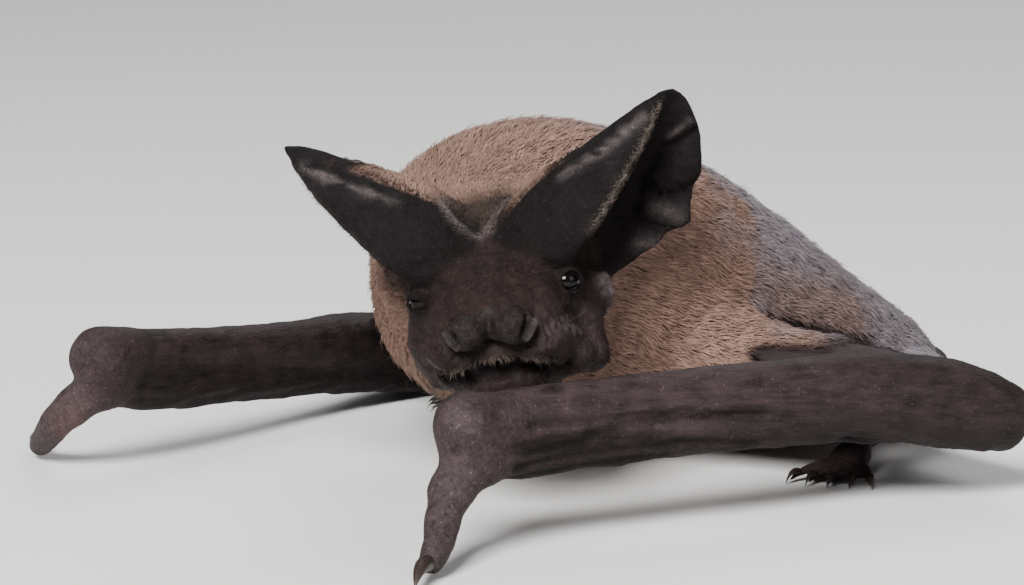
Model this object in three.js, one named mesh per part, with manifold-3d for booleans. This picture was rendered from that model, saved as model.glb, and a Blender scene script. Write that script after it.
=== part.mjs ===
// A large free-tailed bat, life size, crouched on a flat surface with its wings folded.
// It props itself on its wrists, its thumbs and its belly, and turns its head to its left.
// Millimetres, +Z up. The head end is towards -Y and the bat's left side towards +X.
// The origin is on the patch of belly that rests on the surface, under the middle of the body.
import * as THREE from "three";
import { mergeVertices } from "three/addons/utils/BufferGeometryUtils.js";
import Module from "manifold-3d";

const wasm = await Module();
wasm.setup();

// ---- Driving dimensions ----
const GAP = 0.3; // between one piece and the next
const HEAD_AT = [13.1, -43.0, 20.1]; // the point midway between the eyes
const HEAD_TURN = 41.5; // degrees, to the bat's left
const HEAD_NOD = 3; // degrees, nose down
const HEAD_TILT = 9; // degrees, left side up
const EYE_RADIUS = 1.3;
const EYE_AT = [6.1, -0.8, -0.6]; // left eye's centre, from the point midway between the eyes
const EAR_THICKNESS = 0.9;
const MEMBRANE_THICKNESS = 0.7;
const RIGHT_EAR_FOLD = 5.4; // how far the right ear's rear edge is drawn in behind it
const SHOULDER = [9, -19, 13];
const ELBOW = [39.3, -4.4, 6.8];
const RIGHT_ELBOW_DROP = 4; // the right elbow rests on the surface, lower than the left one
const WRIST = [24.3, -56.9, 10.9];
const WRIST_RADIUS = 3.2;
const HIP = [6, 18.5, 5.4];
const KNEE = [18.8, 10.5, 4.4];
const ANKLE = [21.6, -3.6, 2.8];
const TAIL_ROOT = [0, 27, 4.4];
const TAIL_TIP = [-37, 51.5, 1.3];

const COATS = {
  fur: { color: 0x7b5c4c, roughness: 0.9 },
  skin: { color: 0x30282a, roughness: 0.55 },
  ear: { color: 0x2c2628, roughness: 0.5 },
  membrane: { color: 0x352b2b, roughness: 0.6 },
  eye: { color: 0x060505, roughness: 0.08 },
  claw: { color: 0x4a3b33, roughness: 0.35 },
};
const materials = Object.fromEntries(
  Object.entries(COATS).map(([name, look]) => [
    name,
    new THREE.MeshStandardMaterial({ name, metalness: 0, ...look }),
  ]),
);

// ---- Solids ----
const at = (p) => new THREE.Vector3(...p);

function solidOf(geometry) {
  for (const name of ["normal", "uv"]) geometry.deleteAttribute(name);
  const merged = mergeVertices(geometry, 1e-4);
  const triVerts = new Uint32Array(merged.index.array);
  const vertProperties = merged.attributes.position.array;
  const made = new wasm.Manifold(new wasm.Mesh({ numProp: 3, vertProperties, triVerts }));
  if (made.volume() > 0) return made;
  for (let i = 0; i < triVerts.length; i += 3)
    [triVerts[i + 1], triVerts[i + 2]] = [triVerts[i + 2], triVerts[i + 1]];
  return new wasm.Manifold(new wasm.Mesh({ numProp: 3, vertProperties, triVerts }));
}

function indexed(points, faces) {
  const geometry = new THREE.BufferGeometry().setFromPoints(points);
  return geometry.setIndex(faces.flat());
}

// A closed body along a spine. Each station is {at, w, up, down}: half its width, and its height above
// and below the spine. A ring is a superellipse of the given power, square to the spine, or to the
// direction "facing" where there is one.
function loft(stations, { rings = 12, sides = 14, power = 2, upright = [0, 0, 1], facing, grow = 0 } = {}) {
  const spine = new THREE.CatmullRomCurve3(stations.map((s) => at(s.at)), false, "centripetal");
  const sizes = new THREE.CatmullRomCurve3(
    stations.map((s) => new THREE.Vector3(s.w, s.up ?? s.w, s.down ?? s.up ?? s.w)),
    false,
    "centripetal",
  );
  const points = [];
  for (let i = 0; i < rings; i++) {
    const t = i / (rings - 1);
    const centre = spine.getPoint(t);
    const forward = facing ? at(facing) : spine.getTangent(t);
    const side = new THREE.Vector3().crossVectors(at(upright), forward).normalize();
    const up = new THREE.Vector3().crossVectors(forward, side);
    const size = sizes.getPoint(t).addScalar(grow);
    if (i === 0) points.push(centre.clone().addScaledVector(forward, -0.45 * size.x));
    for (let k = 0; k < sides; k++) {
      const angle = (2 * Math.PI * k) / sides;
      const c = Math.cos(angle);
      const s = Math.sin(angle);
      const across = Math.sign(c) * Math.abs(c) ** (2 / power) * size.x;
      const above = Math.sign(s) * Math.abs(s) ** (2 / power) * (s > 0 ? size.y : size.z);
      points.push(centre.clone().addScaledVector(side, across).addScaledVector(up, above));
    }
    if (i === rings - 1) points.push(centre.clone().addScaledVector(forward, 0.45 * size.x));
  }
  const ring = (i, k) => 1 + i * sides + (k % sides);
  const faces = [];
  const last = points.length - 1;
  for (let k = 0; k < sides; k++) {
    faces.push([0, ring(0, k + 1), ring(0, k)], [last, ring(rings - 1, k), ring(rings - 1, k + 1)]);
    for (let i = 0; i < rings - 1; i++) {
      faces.push([ring(i, k), ring(i, k + 1), ring(i + 1, k)]);
      faces.push([ring(i + 1, k), ring(i, k + 1), ring(i + 1, k + 1)]);
    }
  }
  return solidOf(indexed(points, faces));
}

// A round limb: [point, radius] pairs along its length.
const limb = (steps, options) => loft(steps.map(([p, r]) => ({ at: p, w: r })), options);

function ball(centre, radii, turn = [0, 0, 0], detail = [10, 7]) {
  const shape = new THREE.SphereGeometry(1, ...detail);
  const placed = new THREE.Matrix4().compose(
    at(centre),
    new THREE.Quaternion().setFromEuler(new THREE.Euler(...turn)),
    at(radii),
  );
  return solidOf(shape.applyMatrix4(placed));
}

// A thin curved sheet through a net of points, rows of equal length, with a border that thins out.
function sheet(net, { thickness, nu, nv, ripple = () => 0, thin = 0.45, grow = 0 }) {
  const rows = net.map((row) => new THREE.CatmullRomCurve3(row.map(at), false, "centripetal"));
  const place = (u, v) =>
    new THREE.CatmullRomCurve3(rows.map((row) => row.getPoint(v)), false, "centripetal").getPoint(u);
  const step = 0.01;
  const normal = (u, v) => {
    const along = place(Math.min(u + step, 1), v).sub(place(Math.max(u - step, 0), v));
    const across = place(u, Math.min(v + step, 1)).sub(place(u, Math.max(v - step, 0)));
    return along.cross(across).normalize();
  };
  const points = [];
  for (const face of [1, -1])
    for (let i = 0; i <= nu; i++)
      for (let j = 0; j <= nv; j++) {
        const [u, v] = [i / nu, j / nv];
        const edge = Math.min(1, thin + 6 * Math.min(1 - u, v, 1 - v));
        const n = normal(u, v);
        const off = ripple(u, v) + face * (thickness * Math.max(edge, 0.56 / thickness) * 0.5 + grow);
        points.push(place(u, v).addScaledVector(n, off));
      }
  const layer = (nu + 1) * (nv + 1);
  const id = (face, i, j) => face * layer + i * (nv + 1) + j;
  const faces = [];
  const quad = (a, b, c, d) => faces.push([a, b, c], [a, c, d]);
  for (let i = 0; i < nu; i++)
    for (let j = 0; j < nv; j++) {
      quad(id(0, i, j), id(0, i + 1, j), id(0, i + 1, j + 1), id(0, i, j + 1));
      quad(id(1, i, j), id(1, i, j + 1), id(1, i + 1, j + 1), id(1, i + 1, j));
    }
  for (let i = 0; i < nu; i++) {
    quad(id(0, i, 0), id(1, i, 0), id(1, i + 1, 0), id(0, i + 1, 0));
    quad(id(0, i, nv), id(0, i + 1, nv), id(1, i + 1, nv), id(1, i, nv));
  }
  for (let j = 0; j < nv; j++) {
    quad(id(0, 0, j), id(0, 0, j + 1), id(1, 0, j + 1), id(1, 0, j));
    quad(id(0, nu, j), id(1, nu, j), id(1, nu, j + 1), id(0, nu, j + 1));
  }
  return solidOf(indexed(points, faces));
}

const joined = (...solids) => solids.reduce((a, b) => a.add(b));
const without = (solid, ...cutters) => cutters.reduce((a, b) => a.subtract(b), solid);
const largest = (solid) =>
  solid.decompose().reduce((a, b) => (b.volume() > a.volume() ? b : a));

// What lies below the surface that the bat rests on is cut away, which leaves flats at z = 0.
const ground = solidOf(new THREE.BoxGeometry(300, 300, 40).translate(0, 0, -20));
const grounded = (solid) => largest(without(solid, ground));

function mesh(name, solid, material) {
  const made = solid.getMesh();
  const positions = new Float32Array(made.numVert * 3);
  for (let i = 0; i < made.numVert; i++)
    for (let k = 0; k < 3; k++) positions[3 * i + k] = made.vertProperties[i * made.numProp + k];
  const geometry = new THREE.BufferGeometry();
  geometry.setAttribute("position", new THREE.BufferAttribute(positions, 3));
  geometry.setIndex(new THREE.BufferAttribute(new Uint32Array(made.triVerts), 1));
  const shown = new THREE.Mesh(geometry, material);
  shown.name = name;
  return shown;
}

// ---- Head, in its own frame: the origin midway between the eyes, nose towards -Y ----
const skull = (grow) =>
  loft(
    [
      { at: [0, -7.6, -2.7], w: 4.3, up: 2.2, down: 1.6 },
      { at: [0, -6.2, -2.6], w: 5.3, up: 3.2, down: 2.6 },
      { at: [0, -3.6, -2.3], w: 6.2, up: 4.2, down: 3.4 },
      { at: [0, 0, -2.0], w: 7.0, up: 5.2, down: 4.3 },
      { at: [0, 4, -1.6], w: 8.5, up: 7.0, down: 6.6 },
      { at: [0, 9, -1.0], w: 9.5, up: 8.4, down: 8.4 },
      { at: [0, 14, -0.8], w: 9.2, up: 8.2, down: 8.4 },
      { at: [0, 18, -0.8], w: 7.4, up: 6.4, down: 6.8 },
    ],
    { rings: 9, sides: 16, power: 2.2, grow },
  );

// The upper lips flare over the jaw and meet under the nose. Jowls join them to the swollen cheeks.
const lipPad = (side) => ball([side * 3.4, -4.6, -4.4], [2.7, 4.0, 1.7], [0.1, 0, side * 0.2], [8, 5]);
const upperLip = ball([0, -6.5, -4.75], [3.8, 1.4, 0.95], [0, 0, 0], [8, 5]);
const jowl = (side) => ball([side * 4.9, -1.6, -4.7], [2.0, 3.5, 1.9], [0, 0, side * 0.3], [8, 5]);
const cheek = (side) => ball([side * 6.3, 3.4, -4.6], [2.5, 4.6, 4.0], [0, 0, side * 0.12], [8, 5]);
// The hollow in front of each eye opens forwards and outwards.
const orbit = (side) => ball([side * 7.4, -3.0, -0.3], [2.4, 2.8, 2.0], [0, 0, 0], [7, 5]);

const jawBody = (grow) =>
  loft(
    [
      { at: [0, -5.9, -7.3], w: 3.0, up: 0.7, down: 2.0 },
      { at: [0, -3.6, -7.6], w: 4.7, up: 1.0, down: 2.8 },
      { at: [0, 0.5, -7.6], w: 5.9, up: 1.2, down: 3.1 },
      { at: [0, 5.5, -7.4], w: 6.4, up: 1.5, down: 3.1 },
    ],
    { rings: 5, sides: 10, power: 2.3, grow },
  );

const nostrilPad = (side, grow) =>
  ball([side * 2.2, -8.3, -2.35], [1.9 + grow, 1.3 + grow, 1.55 + grow], [0, 0, side * 0.35], [8, 6]);
const nostril = (side) => ball([side * 2.95, -9.5, -2.5], [0.55, 0.75, 0.8], [0, side * 0.4, 0], [6, 4]);

function noseSolid(grow) {
  const bridge = ball([0, -7.9, -2.3], [2.4 + grow, 1.2 + grow, 1.5 + grow], [0, 0, 0], [8, 5]);
  return joined(nostrilPad(1, grow), nostrilPad(-1, grow), bridge);
}

// The left ear's net runs from its base on the head to its tip. Across it runs from the keel's free
// edge, up the front flap, over the top fold and down the rear wall to the rear edge.
const EAR_NET = [
  [[6.8, -1.4, 0.9], [3.6, -1.5, 2.6], [0.7, 0.4, 3.6], [3.6, 4.6, 6.4], [8.4, 7.0, 3.6], [9.4, 5.4, -2.2]],
  [[8.7, -2.1, 2.6], [6.6, -1.9, 4.8], [4.6, 0.4, 7.0], [7.2, 4.6, 8.6], [11.6, 7.8, 4.6], [12.0, 6.2, -1.0]],
  [[11.2, -1.4, 5.5], [9.6, -1.2, 7.4], [8.8, 0.8, 9.4], [11.2, 4.4, 10.4], [15.2, 7.6, 7.2], [16.2, 6.8, 2.0]],
  [[13.9, 0.4, 8.8], [12.9, 0.6, 10.2], [12.8, 2.0, 11.7], [14.8, 4.4, 12.3], [17.8, 6.9, 9.6], [18.8, 6.9, 5.4]],
  [[16.2, 2.8, 12.2], [16.3, 3.0, 13.0], [16.8, 3.6, 13.8], [17.7, 4.5, 13.8], [18.7, 5.6, 12.4], [19.2, 6.1, 10.2]],
];
const FOLDS = 4; // cross folds in the rear wall

// Where a point of the net comes on an ear whose rear half is drawn in by `fold` behind the front one.
function foldedBack(net, fold) {
  return net.map((row, i) =>
    row.map(([x, y, z], column) => {
      const share = (Math.max(0, column - 2) / 3) * Math.sin((Math.PI * (i + 0.6)) / (net.length + 0.9));
      return [x - fold * share, y + 0.35 * fold * share, z];
    }),
  );
}

function earSolid(fold) {
  const crinkle = (u, v) =>
    0.28 * Math.sin(Math.PI * 2 * FOLDS * u) * THREE.MathUtils.smoothstep(v, 0.62, 0.95);
  const net = foldedBack(EAR_NET, fold);
  const pinna = sheet(net, { thickness: EAR_THICKNESS, nu: 9, nv: 10, ripple: crinkle });
  const antitragus = ball([11.9 - 0.3 * fold, 4.6, -0.4], [1.9, 0.9, 1.6], [0, 0.3, 0.5], [8, 6]);
  return joined(pinna, antitragus);
}

function headGroup() {
  const group = new THREE.Group();
  group.position.set(...HEAD_AT);
  const [nod, tilt, turn] = [HEAD_NOD, -HEAD_TILT, HEAD_TURN].map(THREE.MathUtils.degToRad);
  group.rotation.set(nod, tilt, turn, "ZXY");
  const mirrorX = (p, side) => [side * p[0], p[1], p[2]];
  const eye = (side, grow) => ball(mirrorX(EYE_AT, side), [1, 1, 1].map(() => EYE_RADIUS + grow), [0, 0, 0], [9, 6]);
  const eyes = [1, -1].map((side) => eye(side, GAP));
  group.updateMatrixWorld(true);
  const neckRoom = neckSolid(GAP).transform(group.matrixWorld.clone().invert().toArray());
  const nose = without(noseSolid(0), nostril(1), nostril(-1));
  const lips = joined(upperLip, lipPad(1), lipPad(-1), jowl(1), jowl(-1));
  const face = joined(skull(0), lips, cheek(1), cheek(-1));
  const leftEar = earSolid(0);
  const rightEar = earSolid(RIGHT_EAR_FOLD).mirror([1, 0, 0]);
  const head = largest(without(face, orbit(1), orbit(-1), jawBody(GAP), noseSolid(GAP), ...eyes));
  const jaw = largest(without(jawBody(0), ball([0, -5.6, -5.6], [3.2, 2.4, 0.9])));
  const ear = (solid) => largest(without(solid, skull(GAP), neckRoom, cheek(1), cheek(-1), ...eyes));
  group.add(
    mesh("head", head, materials.skin),
    mesh("lower_jaw", jaw, materials.skin),
    mesh("nose_pad", nose, materials.skin),
    mesh("ear_left", ear(leftEar), materials.ear),
    mesh("ear_right", ear(rightEar), materials.ear),
    mesh("eye_left", eye(1, 0), materials.eye),
    mesh("eye_right", eye(-1, 0), materials.eye),
  );
  return group;
}

// ---- Trunk, neck and tail, out to the tips of the coat ----
const TRUNK = [
  // [y, top, bottom, half width, middle]
  [-35, 26.0, 9.0, 9.5, -2.4],
  [-32.4, 29.4, 6.2, 13.4, -2.0],
  [-28.5, 31.6, 4.8, 15.6, -1.4],
  [-21, 32.5, 3.0, 16.4, -0.6],
  [-13, 30.1, 0.8, 16.2, 0],
  [-4, 25.8, -0.8, 15.4, 0],
  [7, 19.0, -1.3, 14.2, 0],
  [14, 14.9, -1.2, 12.6, 0],
  [20, 12.0, -0.4, 10.4, 0],
  [26, 8.6, 0.6, 7.2, 0],
  [29.5, 6.4, 1.6, 4.0, 0],
];

function trunkSolid(grow) {
  const stations = TRUNK.map(([y, top, bottom, w, middle]) => ({
    at: [middle, y, (top + bottom) / 2],
    w,
    up: (top - bottom) / 2,
  }));
  return loft(stations, { rings: 12, sides: 18, power: 2.3, facing: [0, 1, 0], grow });
}

// A short thick collar between the head and the shoulders.
function neckSolid(grow) {
  return loft(
    [
      { at: [-1.4, -27, 19.2], w: 10.6, up: 9.6 },
      { at: [1.4, -31, 19.4], w: 11.4, up: 10.0 },
      { at: [4.6, -35, 19.4], w: 10.9, up: 9.3 },
      { at: [7.2, -38, 19.2], w: 9.6, up: 8.2 },
    ],
    { rings: 5, sides: 14, grow },
  );
}

const tailSolid = (grow) =>
  limb(
    [
      [TAIL_ROOT, 2.6],
      [[-0.3, 33, 2.4], 2.0],
      [[-6, 41.5, 1.6], 1.75],
      [[-18, 48.5, 1.4], 1.5],
      [TAIL_TIP, 1.1],
    ],
    { rings: 9, sides: 7, grow },
  );

// ---- Limbs, drawn for the left side; the right ones are mirrored as they are placed ----
// `drop` is how much lower the elbow lies. It fades out towards the wrist and the shoulder.
const lowered = ([x, y, z], drop, share) => [x, y, z - drop * share];
function forelimbShare(y) {
  const share = THREE.MathUtils.clamp((y - WRIST[1]) / (ELBOW[1] - WRIST[1]), 0, 1);
  return share + 0.3 * Math.sin(Math.PI * share);
}
const alongForearm = (stations, drop) =>
  stations.map((s) => ({ ...s, at: lowered(s.at, drop, forelimbShare(s.at[1])) }));

const upperArm = (drop, grow) =>
  limb(
    [
      [SHOULDER, 6.0],
      [lowered([18.5, -14.6, 9.9], drop, 0.35), 4.1],
      [lowered([29, -9.4, 9.4], drop, 0.7), 3.3],
      [lowered([36.6, -5.6, 7.6], drop, 0.95), 3.0],
    ],
    { rings: 6, sides: 10, grow },
  );

// The forearm bows up, thick with muscle at the elbow and lean at the wrist.
const forearm = (drop, grow) =>
  loft(
    alongForearm(
      [
        { at: ELBOW, w: 2.9, up: 3.1 },
        { at: [37.4, -10.5, 8.7], w: 3.7, up: 4.1 },
        { at: [34.2, -19.3, 10.6], w: 3.1, up: 3.5 },
        { at: [30.9, -30, 11.6], w: 2.1, up: 2.35 },
        { at: [27.3, -44, 11.9], w: 1.8, up: 2.0 },
        { at: [25.0, -53.2, 11.5], w: 2.2, up: 2.3 },
      ],
      drop,
    ),
    { rings: 10, sides: 12, grow },
  );

const wrist = (grow) =>
  joined(
    ball(WRIST, [WRIST_RADIUS - 0.4 + grow, WRIST_RADIUS + grow, WRIST_RADIUS + grow], [0, 0, 0.3], [9, 6]),
    ball([25.0, -56.0, 8.0], [2.4 + grow, 2.8 + grow, 2.5 + grow], [0, 0, 0], [8, 6]),
  );

// The long fingers fold back under the forearm as one flat bundle and pass inside the elbow.
const fingers = (drop, grow) =>
  loft(
    alongForearm(
      [
        { at: [25.2, -54.2, 8.0], w: 1.7, up: 2.4, down: 2.2 },
        { at: [25.3, -51.3, 7.9], w: 1.7, up: 2.7, down: 2.4 },
        { at: [26.9, -44, 7.9], w: 1.5, up: 2.7, down: 2.0 },
        { at: [29.6, -34.4, 7.8], w: 1.4, up: 2.7, down: 1.7 },
        { at: [32.2, -24.7, 7.4], w: 1.4, up: 2.0, down: 1.5 },
        { at: [33.6, -15, 6.6], w: 1.3, up: 1.6, down: 1.4 },
        { at: [34.6, -5.4, 5.0], w: 1.1, up: 1.2 },
        { at: [35.2, 0.5, 4.6], w: 0.7, up: 0.9 },
      ],
      drop,
    ),
    { rings: 9, sides: 6, grow },
  );

// The left thumb reaches forwards to the surface and the right one reaches out to the side.
const THUMB_PATHS = {
  left: [[24.9, -57.4, 7.4], [25.4, -60.2, 4.8], [26.9, -62.2, 2.6], [28.0, -64.4, 1.1]],
  right: [[25.6, -57.2, 7.4], [28.6, -58.6, 4.9], [31.8, -57.8, 2.7], [35.0, -56.4, 1.1]],
};
const CLAW_PATHS = {
  left: [[28.7, -65.6, 1.4], [29.6, -66.9, 1.4], [30.3, -67.9, 0.55]],
  right: [[36.2, -55.9, 1.4], [37.7, -55.2, 1.4], [38.8, -54.7, 0.55]],
};
const THUMB_RADII = [2.1, 1.75, 1.4, 1.15];
const CLAW_RADII = [0.55, 0.42, 0.2];
const withRadii = (path, radii) => path.map((p, i) => [p, radii[i]]);
const thumb = (side, grow) =>
  limb(withRadii(THUMB_PATHS[side], THUMB_RADII), { rings: 6, sides: 9, grow, upright: [0.1, 0.2, 1] });
const thumbClaw = (side) => limb(withRadii(CLAW_PATHS[side], CLAW_RADII), { rings: 4, sides: 6 });

const thigh = (grow) =>
  limb([[HIP, 4.0], [[13.2, 14.6, 4.9], 3.3], [KNEE, 2.3]], { rings: 5, sides: 10, grow });

const shin = (grow) => limb([[KNEE, 1.9], [[21.2, 3.0, 3.8], 1.7], [ANKLE, 1.3]], { rings: 5, sides: 8, grow });

// Five toes of like length fan out from the sole, each with its claw.
const TOES = 5;
const FOOT_HEADING = -1.12; // radians from +X towards -Y
function footSolid(grow) {
  const heel = at([21.4, -4.2, 1.9]);
  const reach = (length, angle, z) => {
    const heading = FOOT_HEADING + angle;
    return [heel.x + length * Math.cos(heading), heel.y + length * Math.sin(heading), z];
  };
  const sole = loft(
    [
      { at: [ANKLE[0], ANKLE[1] - 0.6, 2.2], w: 1.3, up: 1.2, down: 1.6 },
      { at: reach(2.4, 0, 1.5), w: 2.0, up: 1.1, down: 1.6 },
      { at: reach(5.2, 0, 1.1), w: 2.3, up: 0.9, down: 1.2 },
    ],
    { rings: 3, sides: 8, grow },
  );
  const toes = [];
  for (let i = 0; i < TOES; i++) {
    const spread = (i / (TOES - 1) - 0.5) * 2;
    const angle = spread * 0.36;
    toes.push(
      limb(
        [
          [reach(4.4, angle * 0.75, 1.05), 0.62],
          [reach(6.6, angle * 0.95, 1.15), 0.56],
          [reach(8.6, angle, 0.8), 0.5],
          [reach(9.9, angle, 0.75), 0.34],
          [reach(10.8, angle, 0.3), 0.18],
        ],
        { rings: 4, sides: 5, grow },
      ),
    );
  }
  return joined(sole, ...toes);
}

// The flight membrane from the flank to the arm and the leg, slack and gathered.
const WING_NET = [
  [[11.5, -11.5, 10.4], [20, -9.6, 9.4], [29, -5.4, 8.2], [36.4, -1.9, 6.8]],
  [[12.5, -3.5, 9.2], [20, -2.0, 8.4], [27.0, -0.4, 7.4], [33.4, 0.6, 5.4]],
  [[12.5, 4.0, 8.8], [18.2, 3.4, 8.0], [24.2, 2.2, 6.8], [29.6, 1.4, 4.6]],
  [[11.5, 10.6, 9.0], [16.0, 9.2, 8.4], [20.4, 5.4, 6.8], [24.6, 0.4, 5.0]],
];
const lowerNet = (net, drop, share) =>
  net.map((row) => row.map((p, column) => lowered(p, drop, share * (column / (row.length - 1)))));

const wingMembrane = (drop) =>
  sheet(lowerNet(WING_NET, drop, 0.75), {
    thickness: MEMBRANE_THICKNESS,
    nu: 5,
    nv: 5,
    ripple: (u, v) => 0.5 * Math.sin(9 * u + 3 * v) * Math.sin(Math.PI * u) * v,
  });

// The web in front of the elbow's bend.
const FRONT_WEB_NET = [
  [[17.5, -17.6, 12.6], [26.0, -12.6, 11.6], [34.0, -8.6, 10.2]],
  [[21.0, -19.2, 12.2], [28.0, -15.2, 11.8], [34.2, -12.0, 10.8]],
  [[25.0, -21.6, 12.0], [29.4, -19.8, 11.6], [33.4, -18.4, 11.2]],
];
const frontWeb = (drop) =>
  sheet(lowerNet(FRONT_WEB_NET, drop, 0.8), { thickness: MEMBRANE_THICKNESS, nu: 3, nv: 4 });

// The tail's membrane runs from the leg to the first half of the tail.
const TAIL_NET = [
  [[8.5, 19.0, 4.4], [13.0, 16.6, 4.2], [17.5, 12.2, 3.8]],
  [[6.0, 24.0, 3.8], [10.0, 21.4, 3.4], [14.2, 17.2, 2.8]],
  [[3.2, 28.8, 3.2], [5.8, 27.2, 2.6], [9.2, 24.6, 1.6]],
  [[1.0, 34.0, 2.2], [1.9, 33.6, 1.7], [3.4, 32.6, 1.0]],
];
const tailMembrane = () =>
  sheet(TAIL_NET, {
    thickness: MEMBRANE_THICKNESS,
    nu: 5,
    nv: 4,
    ripple: (u, v) => 0.35 * Math.sin(14 * v) * u,
  });

function limbMeshes(side) {
  const drop = side === "right" ? RIGHT_ELBOW_DROP : 0;
  const asPlaced = (solid) => (side === "right" ? solid.mirror([1, 0, 0]) : solid);
  const [trunk, tailRoom] = [trunkSolid, tailSolid].map((make) => asPlaced(make(GAP)));
  const [upper, fore, bundle] = [upperArm, forearm, fingers].map((make) => make(drop, GAP));
  const [thighRoom, shinRoom, footRoom] = [thigh, shin, footSolid].map((make) => make(GAP));
  const [palm, thumbRoom] = [wrist(GAP), thumb(side, GAP)];
  const leg = [thighRoom, shinRoom, footRoom];
  const { skin, membrane, claw, fur } = materials;
  const pieces = {
    upper_arm: [without(upperArm(drop, 0), trunk, fore), skin],
    forearm: [forearm(drop, 0), skin],
    wrist: [without(wrist(0), fore), skin],
    fingers: [without(fingers(drop, 0), palm, fore, upper), membrane],
    thumb: [without(thumb(side, 0), palm), skin],
    thumb_claw: [without(thumbClaw(side), thumbRoom), claw],
    wing_membrane: [without(wingMembrane(drop), trunk, upper, fore, bundle, ...leg), membrane],
    front_web: [without(frontWeb(drop), trunk, upper, fore, bundle), membrane],
    thigh: [without(thigh(0), trunk), fur],
    shin: [without(shin(0), thighRoom, footRoom), skin],
    foot: [footSolid(0), skin],
    tail_membrane: [without(tailMembrane(), trunk, tailRoom, ...leg), membrane],
  };
  const group = new THREE.Group();
  if (side === "right") group.scale.x = -1;
  for (const [name, [solid, material]] of Object.entries(pieces))
    group.add(mesh(name + "_" + side, grounded(solid), material));
  return group;
}

function bat() {
  const root = new THREE.Group();
  const head = headGroup();
  root.add(head);
  const headRoom = [skull(GAP), cheek(1), cheek(-1)].map((solid) =>
    solid.transform(head.matrixWorld.toArray()),
  );
  const neck = largest(without(neckSolid(0), ...headRoom));
  const trunk = largest(without(trunkSolid(0), ...headRoom, neckSolid(GAP)));
  root.add(
    mesh("trunk", grounded(trunk), materials.fur),
    mesh("neck", neck, materials.fur),
    mesh("tail", grounded(without(tailSolid(0), trunkSolid(GAP))), materials.skin),
    limbMeshes("left"),
    limbMeshes("right"),
  );
  return root;
}

export default bat();
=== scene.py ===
"""A life-size crouching free-tailed bat: one skin, a coat of short tufts, eyes and claws, on a pale stage."""

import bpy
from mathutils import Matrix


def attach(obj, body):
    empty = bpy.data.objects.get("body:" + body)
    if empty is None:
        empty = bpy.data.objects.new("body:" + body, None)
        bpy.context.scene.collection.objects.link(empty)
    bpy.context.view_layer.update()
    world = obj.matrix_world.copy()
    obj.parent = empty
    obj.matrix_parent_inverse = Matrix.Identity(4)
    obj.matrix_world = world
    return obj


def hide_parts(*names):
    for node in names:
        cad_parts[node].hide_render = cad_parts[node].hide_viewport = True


bl_info = {
    "name": "Crouching Free-tailed Bat",
    "version": (1, 0, 0),
    "blender": (4, 5, 0),
    "location": "3D View > Sidebar > Bat",
    "description": "Builds the skin, coat, eyes and claws of a crouching bat around its packed solids",
    "category": "Object",
}

import math

import bpy
import numpy as np
from mathutils import Matrix, Vector
from mathutils.bvhtree import BVHTree

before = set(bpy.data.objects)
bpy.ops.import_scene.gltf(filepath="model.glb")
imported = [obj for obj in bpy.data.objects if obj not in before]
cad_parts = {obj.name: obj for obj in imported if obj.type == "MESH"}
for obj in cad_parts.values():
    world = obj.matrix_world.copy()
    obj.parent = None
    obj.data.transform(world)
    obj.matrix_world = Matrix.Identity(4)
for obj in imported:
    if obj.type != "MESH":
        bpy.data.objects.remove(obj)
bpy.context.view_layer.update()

MM = 0.001
FIGURE_BODY = "root"
FLOOR_GAP = 0.02  # between the floor and the lowest points of the skin and the coat, mm
WORK = {}  # the skin and its fields, which the coat and the hairs grow from


# ---- The head's own frame ----
# The point midway between the eyes, mm. It is 0 in the head's own frame, whose nose points towards -Y.
HEAD_AT = (13.1, -43.0, 20.1)
# Degrees that the head turns to the bat's left, that its nose drops, and that its left side is raised.
HEAD_TURN, HEAD_NOD, HEAD_TILT = 41.5, 3.0, 9.0


def head_turn():
    """The rotation from the head's own frame to the body's."""
    turn = Matrix.Rotation(math.radians(HEAD_TURN), 3, "Z")
    nod = Matrix.Rotation(math.radians(HEAD_NOD), 3, "X")
    tilt = Matrix.Rotation(math.radians(-HEAD_TILT), 3, "Y")
    return np.array(turn @ nod @ tilt)


def to_head(points):
    """Points in the head's own frame, mm."""
    return (points - np.array(HEAD_AT)) @ head_turn()


def from_head(points):
    """Points of the head's own frame, in the body's, mm."""
    return np.asarray(points, float) @ head_turn().T + np.array(HEAD_AT)


# ---- Fields over points ----
def smooth_step(low, high, value):
    """0 below low, 1 above high, and a smooth rise between them. Falls where low is above high."""
    share = np.clip((value - low) / (high - low), 0, 1)
    return share * share * (3 - 2 * share)


def billow(points, size, seed, waves=7):
    """A smooth irregular field between about -1 and 1, whose swells are about size mm across."""
    rng = np.random.default_rng(seed)
    field = np.zeros(len(points))
    for _ in range(waves):
        direction = rng.normal(size=3)
        direction *= 2 * math.pi / (size * np.linalg.norm(direction)) * rng.uniform(0.6, 1.5)
        field += np.sin(points @ direction + rng.uniform(0, 2 * math.pi))
    return field / math.sqrt(waves)


def distance_to_path(points, path):
    """How far each point is from a bent line, mm."""
    nearest = np.full(len(points), 1e9)
    path = np.asarray(path, float)
    for start, end in zip(path[:-1], path[1:]):
        along = end - start
        share = np.clip((points - start) @ along / (along @ along), 0, 1)
        gap = np.linalg.norm(points - start - share[:, None] * along, axis=1)
        nearest = np.minimum(nearest, gap)
    return nearest


def ridge(points, path, reach):
    """1 on a bent line, fading over reach mm."""
    return np.exp(-((distance_to_path(points, path) / reach) ** 2))


def on_side(path, side):
    """A line of the bat's left side, or its mirror image. Side is 1 for the left and -1 for the right."""
    return [(side * x, y, z) for x, y, z in path]


def both_ridges(points, path, reach):
    """A ridge along a line of the left side, and one along its mirror image."""
    return ridge(points, path, reach) + ridge(points, on_side(path, -1), reach)


def both_sides(path):
    """A line from one side of the head to the other, from its left half."""
    return on_side(path[::-1], -1) + list(path[1:])


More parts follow.
